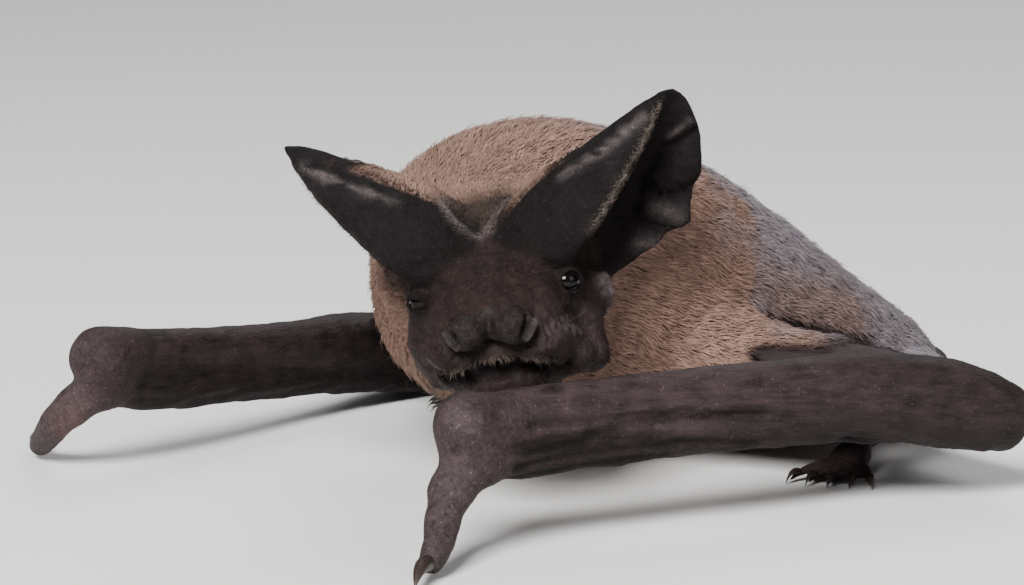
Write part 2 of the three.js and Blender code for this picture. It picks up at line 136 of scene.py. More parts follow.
def unit(vectors):
    """Vectors of length 1."""
    return vectors / np.maximum(np.linalg.norm(vectors, axis=1), 1e-9)[:, None]


def mixed(low, high, share):
    """A field of colours mixed towards one colour by a share at each point."""
    return low + (np.asarray(high, float) - low) * share[:, None]


# ---- Meshes ----
def only(piece):
    """Selects one object alone and makes it active."""
    bpy.ops.object.select_all(action="DESELECT")
    piece.select_set(True)
    bpy.context.view_layer.objects.active = piece


def joined(pieces):
    """Several objects made one."""
    bpy.ops.object.select_all(action="DESELECT")
    for piece in pieces:
        piece.select_set(True)
    bpy.context.view_layer.objects.active = pieces[0]
    bpy.ops.object.join()
    return bpy.context.object


def apply_modifier(piece, kind, **settings):
    """Adds a modifier, sets it and applies it."""
    only(piece)
    modifier = piece.modifiers.new(kind.title(), kind)
    for key, value in settings.items():
        setattr(modifier, key, value)
    bpy.ops.object.modifier_apply(modifier=modifier.name)


def points_of(mesh):
    """A mesh's vertices, mm."""
    flat = np.empty(len(mesh.vertices) * 3)
    mesh.vertices.foreach_get("co", flat)
    return flat.reshape(-1, 3) / MM


def normals_of(mesh):
    """A mesh's vertex normals."""
    flat = np.empty(len(mesh.vertices) * 3)
    mesh.vertices.foreach_get("normal", flat)
    return flat.reshape(-1, 3)


def edges_of(mesh):
    """A mesh's edges as pairs of vertex numbers."""
    flat = np.empty(len(mesh.edges) * 2, int)
    mesh.edges.foreach_get("vertices", flat)
    return flat.reshape(-1, 2)


def triangles_of(mesh):
    """A mesh's faces cut into triangles, as vertex numbers."""
    mesh.calc_loop_triangles()
    flat = np.empty(len(mesh.loop_triangles) * 3, np.int32)
    mesh.loop_triangles.foreach_get("vertices", flat)
    return flat.reshape(-1, 3)


def area_of(corners):
    """The areas of triangles, mm2."""
    cross = np.cross(corners[:, 1] - corners[:, 0], corners[:, 2] - corners[:, 0])
    return np.linalg.norm(cross, axis=1) / 2


def place_points(mesh, points):
    """Moves a mesh's vertices to points in mm."""
    mesh.vertices.foreach_set("co", (points * MM).ravel())
    mesh.update()


def spread(values, edges, times, strength=0.5):
    """Evens values out over neighbouring vertices."""
    count = len(values)
    ends = np.concatenate([edges[:, 0], edges[:, 1]])
    others = np.concatenate([edges[:, 1], edges[:, 0]])
    neighbours = np.maximum(np.bincount(ends, minlength=count), 1)
    columns = values.reshape(count, -1).T.copy()
    strength = np.broadcast_to(strength, count)
    for _ in range(times):
        for column in columns:
            mean = np.bincount(ends, weights=column[others], minlength=count) / neighbours
            column += strength * (mean - column)
    return columns.T.reshape(values.shape)


def filled(points, normals, edges, strength, times):
    """Points raised where the surface dips, so that the seams between solids close."""
    for _ in range(times):
        rise = np.einsum("ij,ij->i", spread(points, edges, 1, 1.0) - points, normals)
        points = points + (strength * np.maximum(rise, 0))[:, None] * normals
    return points


def store(mesh, name, kind, values):
    """Keeps values on a mesh's vertices under a name, for its material."""
    attribute = mesh.attributes.new(name, kind, "POINT")
    key = {"FLOAT": "value", "FLOAT_VECTOR": "vector", "FLOAT_COLOR": "color"}[kind]
    attribute.data.foreach_set(key, np.ascontiguousarray(values, np.float32).ravel())


def finished(piece, slot, *nodes):
    """Puts a finished piece on the body, in place of its solids. Its slot is not used."""
    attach(piece, FIGURE_BODY)
    if nodes:
        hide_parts(*nodes)


# ---- One surface over the flesh ----
# Fields of the flesh nodes: how deep the coat lies on them (mm) and how much their facets are relaxed.
ZONES = {
    "trunk": (0.75, 1.0),
    "neck": (0.75, 1.0),
    "thigh": (0.6, 0.6),
    "head": (0.1, 0.35),
    "lower_jaw": (0.1, 0.3),
    "nose_pad": (0.0, 0.12),
    "ear": (0.05, 0.5),
    "tail": (0.05, 0.4),
    "upper_arm": (0.1, 0.7),
    "forearm": (0.05, 0.6),
    "wrist": (0.0, 0.6),
    "fingers": (0.0, 0.35),
    "thumb": (0.0, 0.3),
    "wing_membrane": (0.0, 0.35),
    "front_web": (0.0, 0.55),
    "shin": (0.0, 0.35),
    "foot": (0.0, 0.12),
    "tail_membrane": (0.0, 0.35),
}
ZONE_NAMES = list(ZONES)
SEPARATE = ("eye_left", "eye_right", "thumb_claw_left", "thumb_claw_right")
FLESH = [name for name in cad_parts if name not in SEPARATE]
CLOSING = 0.36  # mm the solids swell before they are joined, and shrink again afterwards
VOXEL = 0.28  # the size of the cells that the joined surface is remade from, mm
FULL_RELAXING = 0.6  # the share of the way to its neighbours' middle that a fully relaxed point moves
# Each round of relaxing: the strength from which it works, and how many times.
RELAXING = ((0.0, 8), (0.15, 22), (0.4, 60))
SEAM_PASSES = 25  # that fill the dips between the solids

# By how much the triangles of a field are larger than those of the face. Unnamed fields are broad.
COARSENESS = {
    "head": 0.0,
    "nose_pad": 0.0,
    "lower_jaw": 0.1,
    "foot": 0.2,
    "ear": 0.25,
    "thumb": 0.3,
    "wrist": 0.3,
    "forearm": 0.35,
    "fingers": 0.35,
}
BROAD = 0.67
COARSE_STEPS = 20  # from fine to coarse
COARSE_TRIANGLES = 132000  # of the skin before the face is made finer
FACE_SIDE, FACE_TOP = 8.2, 4.8  # how far the finer triangles reach in the head's own frame, mm

# The left eye in the head's own frame: its centre, and the way that it faces.
EYE_AT = (6.1, -0.8, -0.6)
EYE_FACING = (0.66, -0.74, 0.12)
EYE_RADIUS = 1.3

# The lids lie on the eyeball. Each opening is half its width along the slit, and half its height.
LID_RADIUS = EYE_RADIUS + 0.16
LID_REACH = 2.6  # how far from the eye's centre the skin is drawn onto the lids, mm
LEFT_OPENING = (1.0, 0.84)
RIGHT_OPENING = (0.95, 0.34)

# The small flap that ends the ear's rim behind the cheek, in the head's frame.
CHEEK_FOLD = [(9.1, 3.5, -1.5), (9.4, 4.2, -2.8), (9.3, 5.1, -4.1), (8.7, 6.1, -5.4)]

# Round swellings of the head, each a centre and a radius: the hanging corner of the lip, and the ear's flap.
JOWL = [
    ((4.4, -4.8, -5.9), 1.5),
    ((5.9, -2.2, -6.8), 1.8),
    ((7.0, 0.4, -7.5), 2.0),
    ((6.8, 2.6, -7.4), 2.0),
]
FLAP = list(zip(CHEEK_FOLD, (0.75, 0.8, 0.8, 0.7)))
RIGHT_SIZE = 0.8  # of the same swellings on the bat's right

# Swellings that fill the dip behind each wrist, in the body's frame.
WRIST_FILL = [((24.3, -55.2, 11.2), 2.4), ((24.6, -54.3, 11.1), 2.35), ((24.9, -53.3, 11.0), 2.3)]


def zone_of(node):
    """The field that a flesh node belongs to."""
    stem = node.replace("_left", "").replace("_right", "")
    return ZONE_NAMES.index(stem)


def eye_centre(side):
    """An eye's centre in the body's frame, mm. Side is 1 for the bat's left and -1 for its right."""
    return from_head(on_side([EYE_AT], side))[0]


def mark_zone(piece, node):
    """Keeps the field of a node on each of a piece's faces."""
    field = piece.data.attributes.new("zone", "INT", "FACE")
    field.data.foreach_set("value", np.full(len(piece.data.polygons), zone_of(node), np.int32))


def swelling(centre, radius, node="head"):
    """A ball of flesh, in a node's field, with its centre in the body's frame, mm."""
    bpy.ops.object.select_all(action="DESELECT")
    bpy.ops.mesh.primitive_ico_sphere_add(subdivisions=4, radius=MM)
    ball = bpy.context.object
    ball.data.transform(Matrix.Translation(Vector(centre) * MM) @ Matrix.Scale(radius, 4))
    mark_zone(ball, node)
    return ball


def swellings(side):
    """The eye's dome, the lip's corner, the ear's flap and the filling behind the wrist, on one side."""
    size = 1 if side > 0 else RIGHT_SIZE
    balls = [swelling(eye_centre(side), LID_RADIUS)]
    for (x, y, z), radius in JOWL + FLAP:
        centre = from_head([(side * x * size, y, z)])[0]
        balls.append(swelling(centre, radius * size))
    for (x, y, z), radius in WRIST_FILL:
        balls.append(swelling((side * x, y, z), radius, "wrist"))
    return balls


def joined_flesh():
    """The flesh solids in one object, with the field of each face kept."""
    copies = []
    for name in FLESH:
        piece = bpy.data.objects.new("skin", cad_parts[name].data.copy())
        bpy.context.scene.collection.objects.link(piece)
        mark_zone(piece, name)
        copies.append(piece)
    for side in (1, -1):
        copies += swellings(side)
    skin = joined(copies)
    skin.data.materials.clear()
    bpy.ops.object.mode_set(mode="EDIT")
    bpy.ops.mesh.select_all(action="SELECT")
    bpy.ops.mesh.remove_doubles(threshold=1e-6)
    bpy.ops.object.mode_set(mode="OBJECT")
    return skin


def zone_finder(mesh):
    """A search tree over the solids, and the field of each of its faces."""
    zones = np.empty(len(mesh.polygons), np.int32)
    mesh.attributes["zone"].data.foreach_get("value", zones)
    tree = BVHTree.FromPolygons(
        [v.co.copy() for v in mesh.vertices], [tuple(p.vertices) for p in mesh.polygons]
    )
    return tree, zones


def zones_near(points, tree, zones):
    """The field that each point belongs to."""
    return np.array([zones[tree.find_nearest(Vector(p))[2]] for p in points * MM])


class Flesh:
    """The skin's vertices with what the later steps need to know of them. All lengths are mm."""

    def __init__(self, mesh, tree, zones):
        self.points = points_of(mesh)
        self.normals = normals_of(mesh)
        self.edges = edges_of(mesh)
        self.zone = zones_near(self.points, tree, zones)
        self.head = to_head(self.points)
        self.head_normals = self.normals @ head_turn()
        self.on_head = self.zone_is("head", "lower_jaw")
        self.soft_normals = self.normals
        self.near_head = self.zone_is("head", "lower_jaw", "nose_pad", "neck", "ear")

    def zone_is(self, *names):
        """True in the named fields."""
        return np.isin(self.zone, [ZONE_NAMES.index(n) for n in names])

    def share(self, *names, blur=6):
        """1 inside the named fields, fading over their borders."""
        return spread(self.zone_is(*names).astype(float), self.edges, blur)


def naked_face(flesh):
    """1 on the bare front of the head and fading to 0 where the coat of the crown and throat starts."""
    x, y, z = flesh.head.T
    crown_start = 0.2 + 0.10 * x * x
    on_crown = smooth_step(3.6, 4.6, z) * smooth_step(-0.5, 0.6, y - crown_start)
    behind_cheek = smooth_step(3.4, 5.4, y)
    throat = smooth_step(-8.6, -9.8, z) * smooth_step(-4.0, -1.0, y)
    return (1 - on_crown) * (1 - behind_cheek) * (1 - 0.8 * throat)


def coat_depth(flesh):
    """How far the skin lies inside the coat's tips, mm."""
    depth = np.array([ZONES[n][0] for n in ZONE_NAMES])[flesh.zone]
    furred_head = 0.5 * (1 - naked_face(flesh))
    depth = np.where(flesh.on_head, depth + furred_head, depth)
    return spread(depth, flesh.edges, 10)


def base_skin():
    """One closed surface over all the flesh, still without its folds."""
    skin = joined_flesh()
    tree, zones = zone_finder(skin.data)
    apply_modifier(skin, "DISPLACE", strength=CLOSING * MM, mid_level=0.0)
    apply_modifier(skin, "REMESH", mode="VOXEL", voxel_size=VOXEL * MM, use_smooth_shade=True)
    flesh = Flesh(skin.data, tree, zones)
    strength = np.array([ZONES[n][1] for n in ZONE_NAMES])[flesh.zone] * FULL_RELAXING
    strength = spread(strength, flesh.edges, 8)
    for least, times in RELAXING:
        held = strength * smooth_step(least, least + 0.05, strength)
        flesh.points = spread(flesh.points, flesh.edges, times, held)
    seams = smooth_step(0.1, 0.3, strength)
    flesh.points = filled(flesh.points, flesh.normals, flesh.edges, seams, SEAM_PASSES)
    place_points(skin.data, flesh.points)
    flesh.normals = normals_of(skin.data)
    inset = CLOSING + coat_depth(flesh)
    steady = unit(spread(flesh.normals, flesh.edges, 6))
    flesh.points = flesh.points - inset[:, None] * steady
    place_points(skin.data, flesh.points)
    return skin, flesh, tree, zones


def thin_out(skin, flesh):
    """Takes triangles out of the skin, first where it is broad and smooth."""
    broad = np.array([COARSENESS.get(name, BROAD) for name in ZONE_NAMES])[flesh.zone]
    levels = np.round(spread(broad, flesh.edges, 12) * COARSE_STEPS).astype(int)
    group = skin.vertex_groups.new(name="broad")
    for level in range(1, COARSE_STEPS):
        group.add(np.flatnonzero(levels == level).tolist(), level / COARSE_STEPS, "REPLACE")
    skin.data.calc_loop_triangles()
    share = COARSE_TRIANGLES / len(skin.data.loop_triangles)
    apply_modifier(skin, "DECIMATE", ratio=share, vertex_group="broad", vertex_group_factor=1.0)
    skin.vertex_groups.clear()


def refine_face(skin):
    """Cuts the triangles of the face in four, and rounds them."""
    middles = np.empty(len(skin.data.polygons) * 3)
    skin.data.polygons.foreach_get("center", middles)
    x, y, z = to_head(middles.reshape(-1, 3) / MM).T
    chosen = (np.abs(x) < FACE_SIDE) & (y < 0.25 * np.abs(x)) & (z > -FACE_SIDE) & (z < FACE_TOP)
    only(skin)
    bpy.ops.object.mode_set(mode="EDIT")
    bpy.ops.mesh.select_mode(type="FACE")
    bpy.ops.mesh.select_all(action="DESELECT")
    bpy.ops.object.mode_set(mode="OBJECT")
    skin.data.polygons.foreach_set("select", chosen)
    bpy.ops.object.mode_set(mode="EDIT")
    bpy.ops.mesh.subdivide(number_cuts=1, smoothness=0.0)
    bpy.ops.mesh.select_mode(type="VERT")
    bpy.ops.object.mode_set(mode="OBJECT")
    edges = edges_of(skin.data)
    points = points_of(skin.data)
    x, y, z = to_head(points).T
    within = smooth_step(FACE_SIDE + 0.6, FACE_SIDE - 0.2, np.abs(x)) * (z < FACE_TOP + 0.6)
    within *= smooth_step(0.6, -0.4, y - 0.25 * np.abs(x))
    place_points(skin.data, spread(points, edges, 3, 0.5 * within))


# ---- Folds of the face ----
# Lines of the head are in its own frame, mm. Those of one side are the bat's left side's.
NOSTRIL = [(3.5, -8.6, -1.5), (3.05, -8.9, -2.2), (2.6, -9.0, -3.0)]
NOSTRIL_RIM = [(3.8, -8.4, -2.1), (3.5, -8.6, -2.7), (2.9, -8.8, -3.5)]
UNDER_NOSE = [(0.0, -8.1, -3.9), (1.6, -8.1, -4.1), (3.2, -7.9, -4.2)]
MOUTH = [(0.0, -7.0, -6.1), (2.0, -6.8, -6.2), (3.8, -5.6, -6.6), (5.6, -3.4, -6.9)]
# Each fold of the face is its line, its height and its reach. The right side mirrors it.
FACE_LINES = [
    # the bridge of the muzzle, and the hollows beside it
    ([(0.0, -2.6, 2.3), (0.1, -5.4, 1.0), (0.2, -7.6, -0.3)], 0.2, 1.3),
    ([(3.1, -3.4, 1.2), (3.6, -5.4, 0.1), (3.9, -6.9, -1.2)], -0.3, 0.8),
    # the brow over the eye, and the crease under it
    ([(3.9, -2.2, 2.3), (5.9, -1.5, 1.9), (7.9, -0.2, 1.7)], 0.4, 0.6),
    ([(3.9, -2.9, 1.2), (5.8, -2.2, 0.95), (7.4, -0.9, 0.8), (8.3, 0.6, 0.2)], -0.5, 0.42),
    # the bag under the eye, and its lower crease
    ([(4.5, -3.4, -0.9), (5.6, -3.2, -2.0), (7.2, -1.6, -2.1)], 0.16, 0.45),
    ([(4.7, -3.9, -1.9), (6.2, -3.0, -2.9), (7.6, -1.2, -2.8)], -0.3, 0.4),
    # the nose: two swollen lobes with a crease above, each with a slanting slit and a rim outside it
    ([(2.2, -8.8, -1.9), (1.9, -8.9, -2.9)], 0.42, 0.85),
    ([(1.0, -8.3, -0.8), (2.3, -8.1, -0.35), (3.7, -7.8, -0.8)], -0.3, 0.28),
    (NOSTRIL, -1.2, 0.3),
    (NOSTRIL_RIM, 0.3, 0.24),
    ([(4.15, -7.6, -1.3), (4.1, -7.9, -2.3), (3.6, -8.2, -3.6)], -0.7, 0.34),
    # the crease under the nose, the lip's rolled edge and the gap of the mouth
    (UNDER_NOSE, -0.5, 0.4),
    ([(0.0, -7.9, -5.0), (1.8, -7.8, -5.1), (3.6, -7.2, -5.5), (5.2, -5.2, -5.9)], 0.3, 0.42),
    (MOUTH, -1.5, 0.6),
    # the cheek's pad, and the dip behind the eye
    ([(5.4, -5.2, -3.6), (5.2, -4.6, -5.0)], 0.35, 1.3),
    ([(7.6, 1.2, 0.6), (8.2, 2.4, 1.0), (8.9, 4.2, 0.2)], -0.7, 0.8),
]
SEPTUM = [(0.0, -8.7, -0.9), (-0.05, -9.0, -2.2), (-0.2, -8.6, -4.0)]

# The V between the ears: down from the right ear's edge, along the brow, and up to the left ear's.
BROW_V = [
    (-3.6, 1.4, 7.2),
    (-2.7, 0.35, 6.1),
    (-1.8, 0.0, 5.1),
    (-0.5, 0.0, 4.1),
    (0.25, 1.3, 4.3),
    (0.85, 2.6, 4.8),
    (1.6, 5.6, 5.6),
]
RIGHT_EYE_FOLD = [(-7.0, -0.9, 0.7), (-5.4, -1.9, 1.15), (-3.9, -1.8, 1.9), (-1.9, -1.4, 2.8)]
LIP_WRINKLES = 10  # on each side
FOREHEAD_FURROWS = 4  # on each side


def lip_wrinkles(head):
    """Fine upright folds of the upper lip beside the nose, each with a crease on its outer side."""
    height = np.zeros(len(head))
    for side in (-1, 1):
        for i in range(LIP_WRINKLES):
            x = side * (4.3 + 0.33 * i)
            y = -7.5 + 0.62 * i
            lean = 0.22 * math.sin(2.3 * i)
            top, foot = (x * 0.97 - lean, y, -2.6 - 0.05 * i), (x * 0.97, y + 0.2, -5.7)
            fold = [top, (x + lean, y - 0.2, -4.1), foot]
            crease = np.add(fold, (0.17 * side, 0.3, 0))
            height += 0.24 * ridge(head, fold, 0.15) - 0.16 * ridge(head, crease, 0.15)
    return height


def forehead_furrows(head):
    """Slanting furrows between the brows and down the muzzle."""
    height = np.zeros(len(head))
    for i in range(FOREHEAD_FURROWS):
        start = (1.1 + 0.55 * i, -2.0 - 0.1 * i, 2.9 - 0.1 * i)
        end = (1.5 + 0.75 * i, -5.4 + 0.5 * i, 0.9 - 0.3 * i)
        height -= 0.13 * both_ridges(head, [start, end], 0.22)
    return height


def carve_head(flesh):
    """Raises and presses the skin of the face along its folds."""
    head = flesh.head
    height = 0.35 * ridge(head, BROW_V, 0.45) - 0.5 * ridge(head, SEPTUM, 0.4)
    height += 0.35 * ridge(head, RIGHT_EYE_FOLD, 0.4)
    for path, rise, reach in FACE_LINES:
        height += rise * both_ridges(head, path, reach)
    height += lip_wrinkles(head) + forehead_furrows(head)
    height += 0.02 * billow(head, 0.9, 61) + 0.04 * billow(head, 1.7, 62)
    broad = spread(flesh.normals, flesh.edges, 5)
    flesh.points = flesh.points + np.where(flesh.near_head, height, 0)[:, None] * broad


def wrap_lids(flesh, side):
    """Lays the skin round an eye on the eyeball, with an almond opening that shows it."""
    centre = np.array(on_side([EYE_AT], side)[0])
    facing = unit(np.array(on_side([EYE_FACING], side)))[0]
    level = unit(np.cross(facing, (0, 0, 1.0))[None])[0]
    upright = np.cross(level, facing)
    half_width, half_height = LEFT_OPENING if side > 0 else RIGHT_OPENING
    arm = to_head(flesh.points) - centre
    length = np.linalg.norm(arm, axis=1)
    aim = unit(arm)
    front = aim @ facing
    across = (aim @ level) * EYE_RADIUS
    above = (aim @ upright) * EYE_RADIUS
    inside = (across / half_width) ** 2 + (above / half_height) ** 2
    near = (length < LID_REACH) & (front > 0)
    rim = 0.07 * np.exp(-(((inside - 1.25) / 0.4) ** 2)) - 0.1 * np.exp(-(((inside - 2.6) / 0.5) ** 2))
    lid = np.where(inside < 1, EYE_RADIUS - 0.25, LID_RADIUS + rim)
    hold = smooth_step(0.0, 0.3, front) * (1 - smooth_step(LID_RADIUS + 0.35, LID_REACH, length))
    target = length + (lid - length) * hold
    moved = centre + aim * np.where(near, target, length)[:, None]
    flesh.points = np.where(near[:, None], from_head(moved), flesh.points)


# ---- Folds of the ears ----
# The ear's rear lobe is crumpled in three swellings, with creases between them.
UPPER_LOBE = [(18.4, 6.0, 10.6), (17.3, 6.2, 9.9), (16.3, 6.2, 9.4)]
MIDDLE_CREASE = [(13.4, 7.2, 5.6), (14.6, 7.0, 4.5), (15.8, 6.9, 4.1), (17.2, 6.8, 4.4), (18.6, 6.4, 5.0)]
LOWER_CREASE = [(12.3, 7.1, 2.8), (13.4, 6.8, 1.9), (14.6, 6.5, 1.3), (15.8, 6.4, 0.9)]
LOWER_LOBE = [(12.3, 6.4, 0.6), (13.8, 6.4, 0.2)]
# Each fold is its line, how far it moves the whole leaf forwards, and its reach.
EAR_FOLDS = [
    (UPPER_LOBE, 0.45, 0.35),
    ([(18.6, 6.2, 9.7), (17.3, 6.5, 9.0), (16.0, 6.6, 8.6)], -0.6, 0.4),
    ([(15.9, 7.1, 6.4), (17.3, 6.8, 7.6)], 0.5, 1.3),
    (MIDDLE_CREASE, -0.75, 0.4),
    ([(13.6, 7.1, 3.5), (14.9, 6.7, 3.0), (16.4, 6.6, 2.8)], 0.5, 0.8),
    (LOWER_CREASE, -0.65, 0.35),
    (LOWER_LOBE, 0.35, 0.7),
    ([(12.0, 6.9, 3.4), (13.0, 7.3, 5.2), (14.2, 7.2, 7.2), (15.2, 6.8, 8.8)], -0.3, 0.6),
]

# Two lobes spill out of the ear's rim, and the rim is nicked between two others: place, reach and how far.
EAR_LOBES = [((16.4, 6.5, 1.7), 1.25, 1.5), ((14.3, 6.3, -0.5), 0.9, 1.1), ((18.6, 6.5, 4.4), 0.8, -0.7)]


def crumple_ears(flesh):
    """Bends the leaf of each ear along its folds, and spills its lobes out of the rim."""
    ears = flesh.share("ear", blur=3) * smooth_step(9.5, 11.5, np.abs(flesh.head[:, 0]))
    bend = 0.14 * billow(flesh.head, 3.2, 63)
    for path, rise, reach in EAR_FOLDS:
        bend += rise * both_ridges(flesh.head, path, reach)
    moved = (ears * bend)[:, None] * (head_turn() @ (0, -1, 0))
    for side in (1, -1):
        spill = np.zeros(len(ears))
        for (x, y, z), reach, share in EAR_LOBES:
            spill += share * ridge(flesh.head, on_side([(x, y, z), (x, y + 0.1, z)], side), reach)
        moved += (ears * spill)[:, None] * (head_turn() @ (0.86 * side, 0, -0.5))
    flesh.points = flesh.points + moved


# ---- Folds of the arms ----
# The left arm's joints, mm. The right elbow lies lower.
ELBOW = (39.3, -4.4, 6.8)
WRIST = (24.3, -56.9, 10.9)
ELBOW_DROP = 4.0
WRIST_PASSES = 80  # that smooth the skin behind each wrist

# Folds and raised strands of the left arm in the body's frame: its line, its height, its reach.
ARM_FOLDS = [
    (
        [(26.3, -54.6, 9.2), (26.7, -50.8, 9.2), (27.5, -45.9, 9.4), (28.2, -39.4, 9.6), (29.4, -35.5, 9.5)],
        -0.75,
        0.36,
    ),
    ([(29.4, -36.6, 9.9), (30.6, -31.5, 9.0), (32.0, -25.5, 7.9)], -0.7, 0.36),
    ([(27.2, -52.2, 10.7), (28.2, -46.5, 10.4), (29.3, -41.0, 10.4), (30.6, -36.8, 10.4)], -0.4, 0.3),
    ([(28.6, -44.0, 9.9), (29.5, -39.2, 10.0), (30.7, -35.2, 9.8), (32.3, -29.2, 9.9)], -0.5, 0.32),
    (
        [(31.2, -28.4, 8.9), (32.4, -24.0, 8.1), (34.4, -18.8, 6.9), (37.0, -12.6, 5.5), (39.6, -8.4, 4.9)],
        0.4,
        0.34,
    ),
    ([(31.0, -28.0, 8.0), (32.2, -24.4, 7.2), (34.0, -19.4, 5.9), (36.6, -13.2, 4.4)], -0.7, 0.42),
    (
        [(26.2, -53.6, 7.4), (27.1, -49.4, 7.8), (28.3, -43.6, 8.0), (30.0, -37.0, 8.0), (31.6, -30.0, 7.2)],
        -0.35,
        0.3,
    ),
    ([(25.9, -53.8, 6.3), (26.8, -48.7, 6.7), (27.6, -44.8, 6.9), (29.2, -38.6, 6.8)], -0.35, 0.3),
    ([(26.6, -52.4, 8.5), (27.7, -46.2, 8.8), (29.0, -39.6, 8.9)], -0.2, 0.24),
    ([(24.3, -60.6, 8.8), (25.4, -61.0, 7.2), (26.0, -60.8, 5.2)], -0.35, 0.35),
    ([(23.4, -60.0, 8.2), (23.6, -60.6, 6.4)], 0.5, 1.1),
]


def arm_line(path, side):
    """A line of the left arm, or the same line on the right one."""
    moved = []
    for x, y, z in path:
        share = min(max((y - WRIST[1]) / (ELBOW[1] - WRIST[1]), 0), 1)
        moved.append((side * x, y, z - (ELBOW_DROP * share if side < 0 else 0)))
    return moved


def fill_wrists(flesh):
    """Fills the dip between the knob of each wrist and its forearm."""
    x, y, _ = flesh.points.T
    joint = flesh.share("forearm", "wrist", "fingers", blur=4)
    joint = joint * smooth_step(-61, -58.5, y) * smooth_step(-45, -50, y) * smooth_step(18, 20, np.abs(x))
    flesh.points = filled(flesh.points, flesh.normals, flesh.edges, joint, WRIST_PASSES)


def carve_arms(flesh):
    """Presses and raises the skin of the forearms and wrists along their folds and strands."""
    arms = flesh.share("forearm", "fingers", "wrist", "thumb", blur=3)
    height = np.zeros(len(flesh.points))
    for path, rise, reach in ARM_FOLDS:
        for side in (1, -1):
            height += rise * ridge(flesh.points, arm_line(path, side), reach)
    bundle = flesh.share("fingers", blur=5)
    wander = 0.3 * billow(flesh.points, 12, 71)
    strands = np.cos(2 * math.pi * (flesh.points[:, 2] / 1.15 + wander))
    height += 0.09 * strands * bundle + 0.03 * billow(flesh.points, 2.4, 72)
    broad = unit(spread(flesh.normals, flesh.edges, 5))
    flesh.points = flesh.points + (height * arms)[:, None] * broad


def carved_skin():
    """The skin with its folds, lids and wrinkles."""
    skin, flesh, tree, zones = base_skin()
    thin_out(skin, flesh)
    refine_face(skin)
    flesh = Flesh(skin.data, tree, zones)
    fill_wrists(flesh)
    carve_head(flesh)
    crumple_ears(flesh)
    carve_arms(flesh)
    for side in (1, -1):
        wrap_lids(flesh, side)
    flesh.points[:, 2] = np.maximum(flesh.points[:, 2], FLOOR_GAP)
    place_points(skin.data, flesh.points)
    flesh.normals = normals_of(skin.data)
    flesh.soft_normals = unit(spread(flesh.normals, flesh.edges, 10))
    return skin, flesh


# ---- Markings: the colour of the skin and of the tufts that grow from it, with painted shade and highlights ----
# The colour of painted shade, laid into hollows, creases, the mouth, the eyes' sockets and the nostrils'
# slits.
PAINTED_HOLLOW_SHADE = (0.006, 0.004, 0.004)

# A cinnamon patch low on each flank, from front to back.
FLANK_PATCH = [(14.0, -6.0, 15.2), (12.9, 3.0, 13.0)]
FLANK_REACH = 3.0

# The bare fold where the wing's skin leaves the flank, and its broader rear part.
WING_FOLD = [(15.5, -12.0, 14.2), (14.9, -8.0, 13.1), (14.4, -3.0, 11.9), (14.0, 2.0, 10.6), (13.7, 6.0, 9.7)]
WING_FOLD_REAR = [(14.9, -4.0, 11.6), (14.9, 1.0, 10.2), (14.6, 6.0, 8.9)]

# Lines that are only coloured: those of the head are in its own frame, and the thumb's and knob's aren't.
# Painted shade lies inside the mouth, round the eye, under the brow and in the ear's hollow; painted
# highlights lie on the cheek, the wrist's knob, a lobe of the ear and along the ear's front edge.
INSIDE_MOUTH = [(0, -6.0, -5.8), (2.0, -5.7, -6.2), (3.8, -4.9, -6.8), (5.4, -3.2, -7.4)]
# Painted highlight over the cheek, stronger on the lit left side.
CHEEK = [(5.3, -6.4, -3.6), (6.6, -4.1, -4.3), (7.5, -2.5, -6.0), (8.3, 0.8, -4.8)]
# Painted shade round the eye and under the brow, where the ear's base overhangs them.
EYE_PAINTED_SHADE = [(6.3, -1.4, -0.6), (7.6, 0.6, 0.4)]
BROW_PAINTED_SHADE = [(2.4, -1.2, 3.4), (6.0, -1.0, 2.4)]
RIGHT_THUMB_ROOT = [(-26.6, -58.2, 5.6), (-28.4, -58.0, 4.4)]
# A painted highlight on the wrist's knob.
KNOB_HIGHLIGHT = [(25.8, -58.9, 12.1), (26.1, -58.4, 11.0)]
EAR_INSIDE = [(4.9, 5.0, 4.6), (6.0, 5.4, 4.1), (7.2, 6.1, 3.2), (8.0, 6.0, 2.1)]
# A painted highlight on a swollen lobe of the ear.
EAR_LOBE_HIGHLIGHT = [(14.2, 6.6, 3.4), (15.9, 6.5, 2.5)]
# The hollow of the ear down to the cheek: bare, and darkened with painted shade.
EAR_HOLLOW = [
    (8.2, 2.0, 0.8),
    (9.2, 5.0, -0.4),
    (11.0, 6.6, 1.2),
    (12.6, 7.2, 3.6),
    (14.2, 7.2, 6.6),
    (15.4, 6.6, 9.0),
]
# A painted highlight on the front of each ear just below its upper edge, where the skin is also glossier.
EAR_FRONT_EDGE = [(7.4, 0.0, 8.2), (9.0, 0.0, 9.0), (10.9, 0.1, 9.9), (12.7, 0.8, 10.9), (14.6, 1.9, 12.0)]
EAR_KEEL = [(9.4, -1.9, 3.4), (11.2, -1.4, 5.5), (13.9, 0.4, 8.8), (16.2, 2.8, 12.2)]


def wing_fold(flesh):
    """1 in the bare fold where the wing's skin leaves the flank, and fading to 0 beside it."""
    x, y, z = flesh.points.T
    flank = np.c_[np.abs(x), y, z]
    return np.maximum(ridge(flank, WING_FOLD, 0.75), ridge(flank, WING_FOLD_REAR, 1.3))


def ear_back(flesh):
    """1 on the short pale fur on the backs of the ears, by the crown."""
    x, y, z = flesh.head.T
    turned = smooth_step(0.1, 0.6, flesh.head_normals[:, 2] + 0.5 * flesh.head_normals[:, 1])
    turned *= smooth_step(0.4, 0.1, flesh.head_normals[:, 0] * np.sign(x))
    outwards = np.abs(x) - np.where(x > 0, 10.0, 13.5) + 0.8 * billow(flesh.head, 3.0, 23)
    place = smooth_step(0.0, -7.5, outwards) * smooth_step(0.6, 2.0, y) * smooth_step(3.5, 6.0, z)
    return flesh.share("ear", blur=2) * turned * place


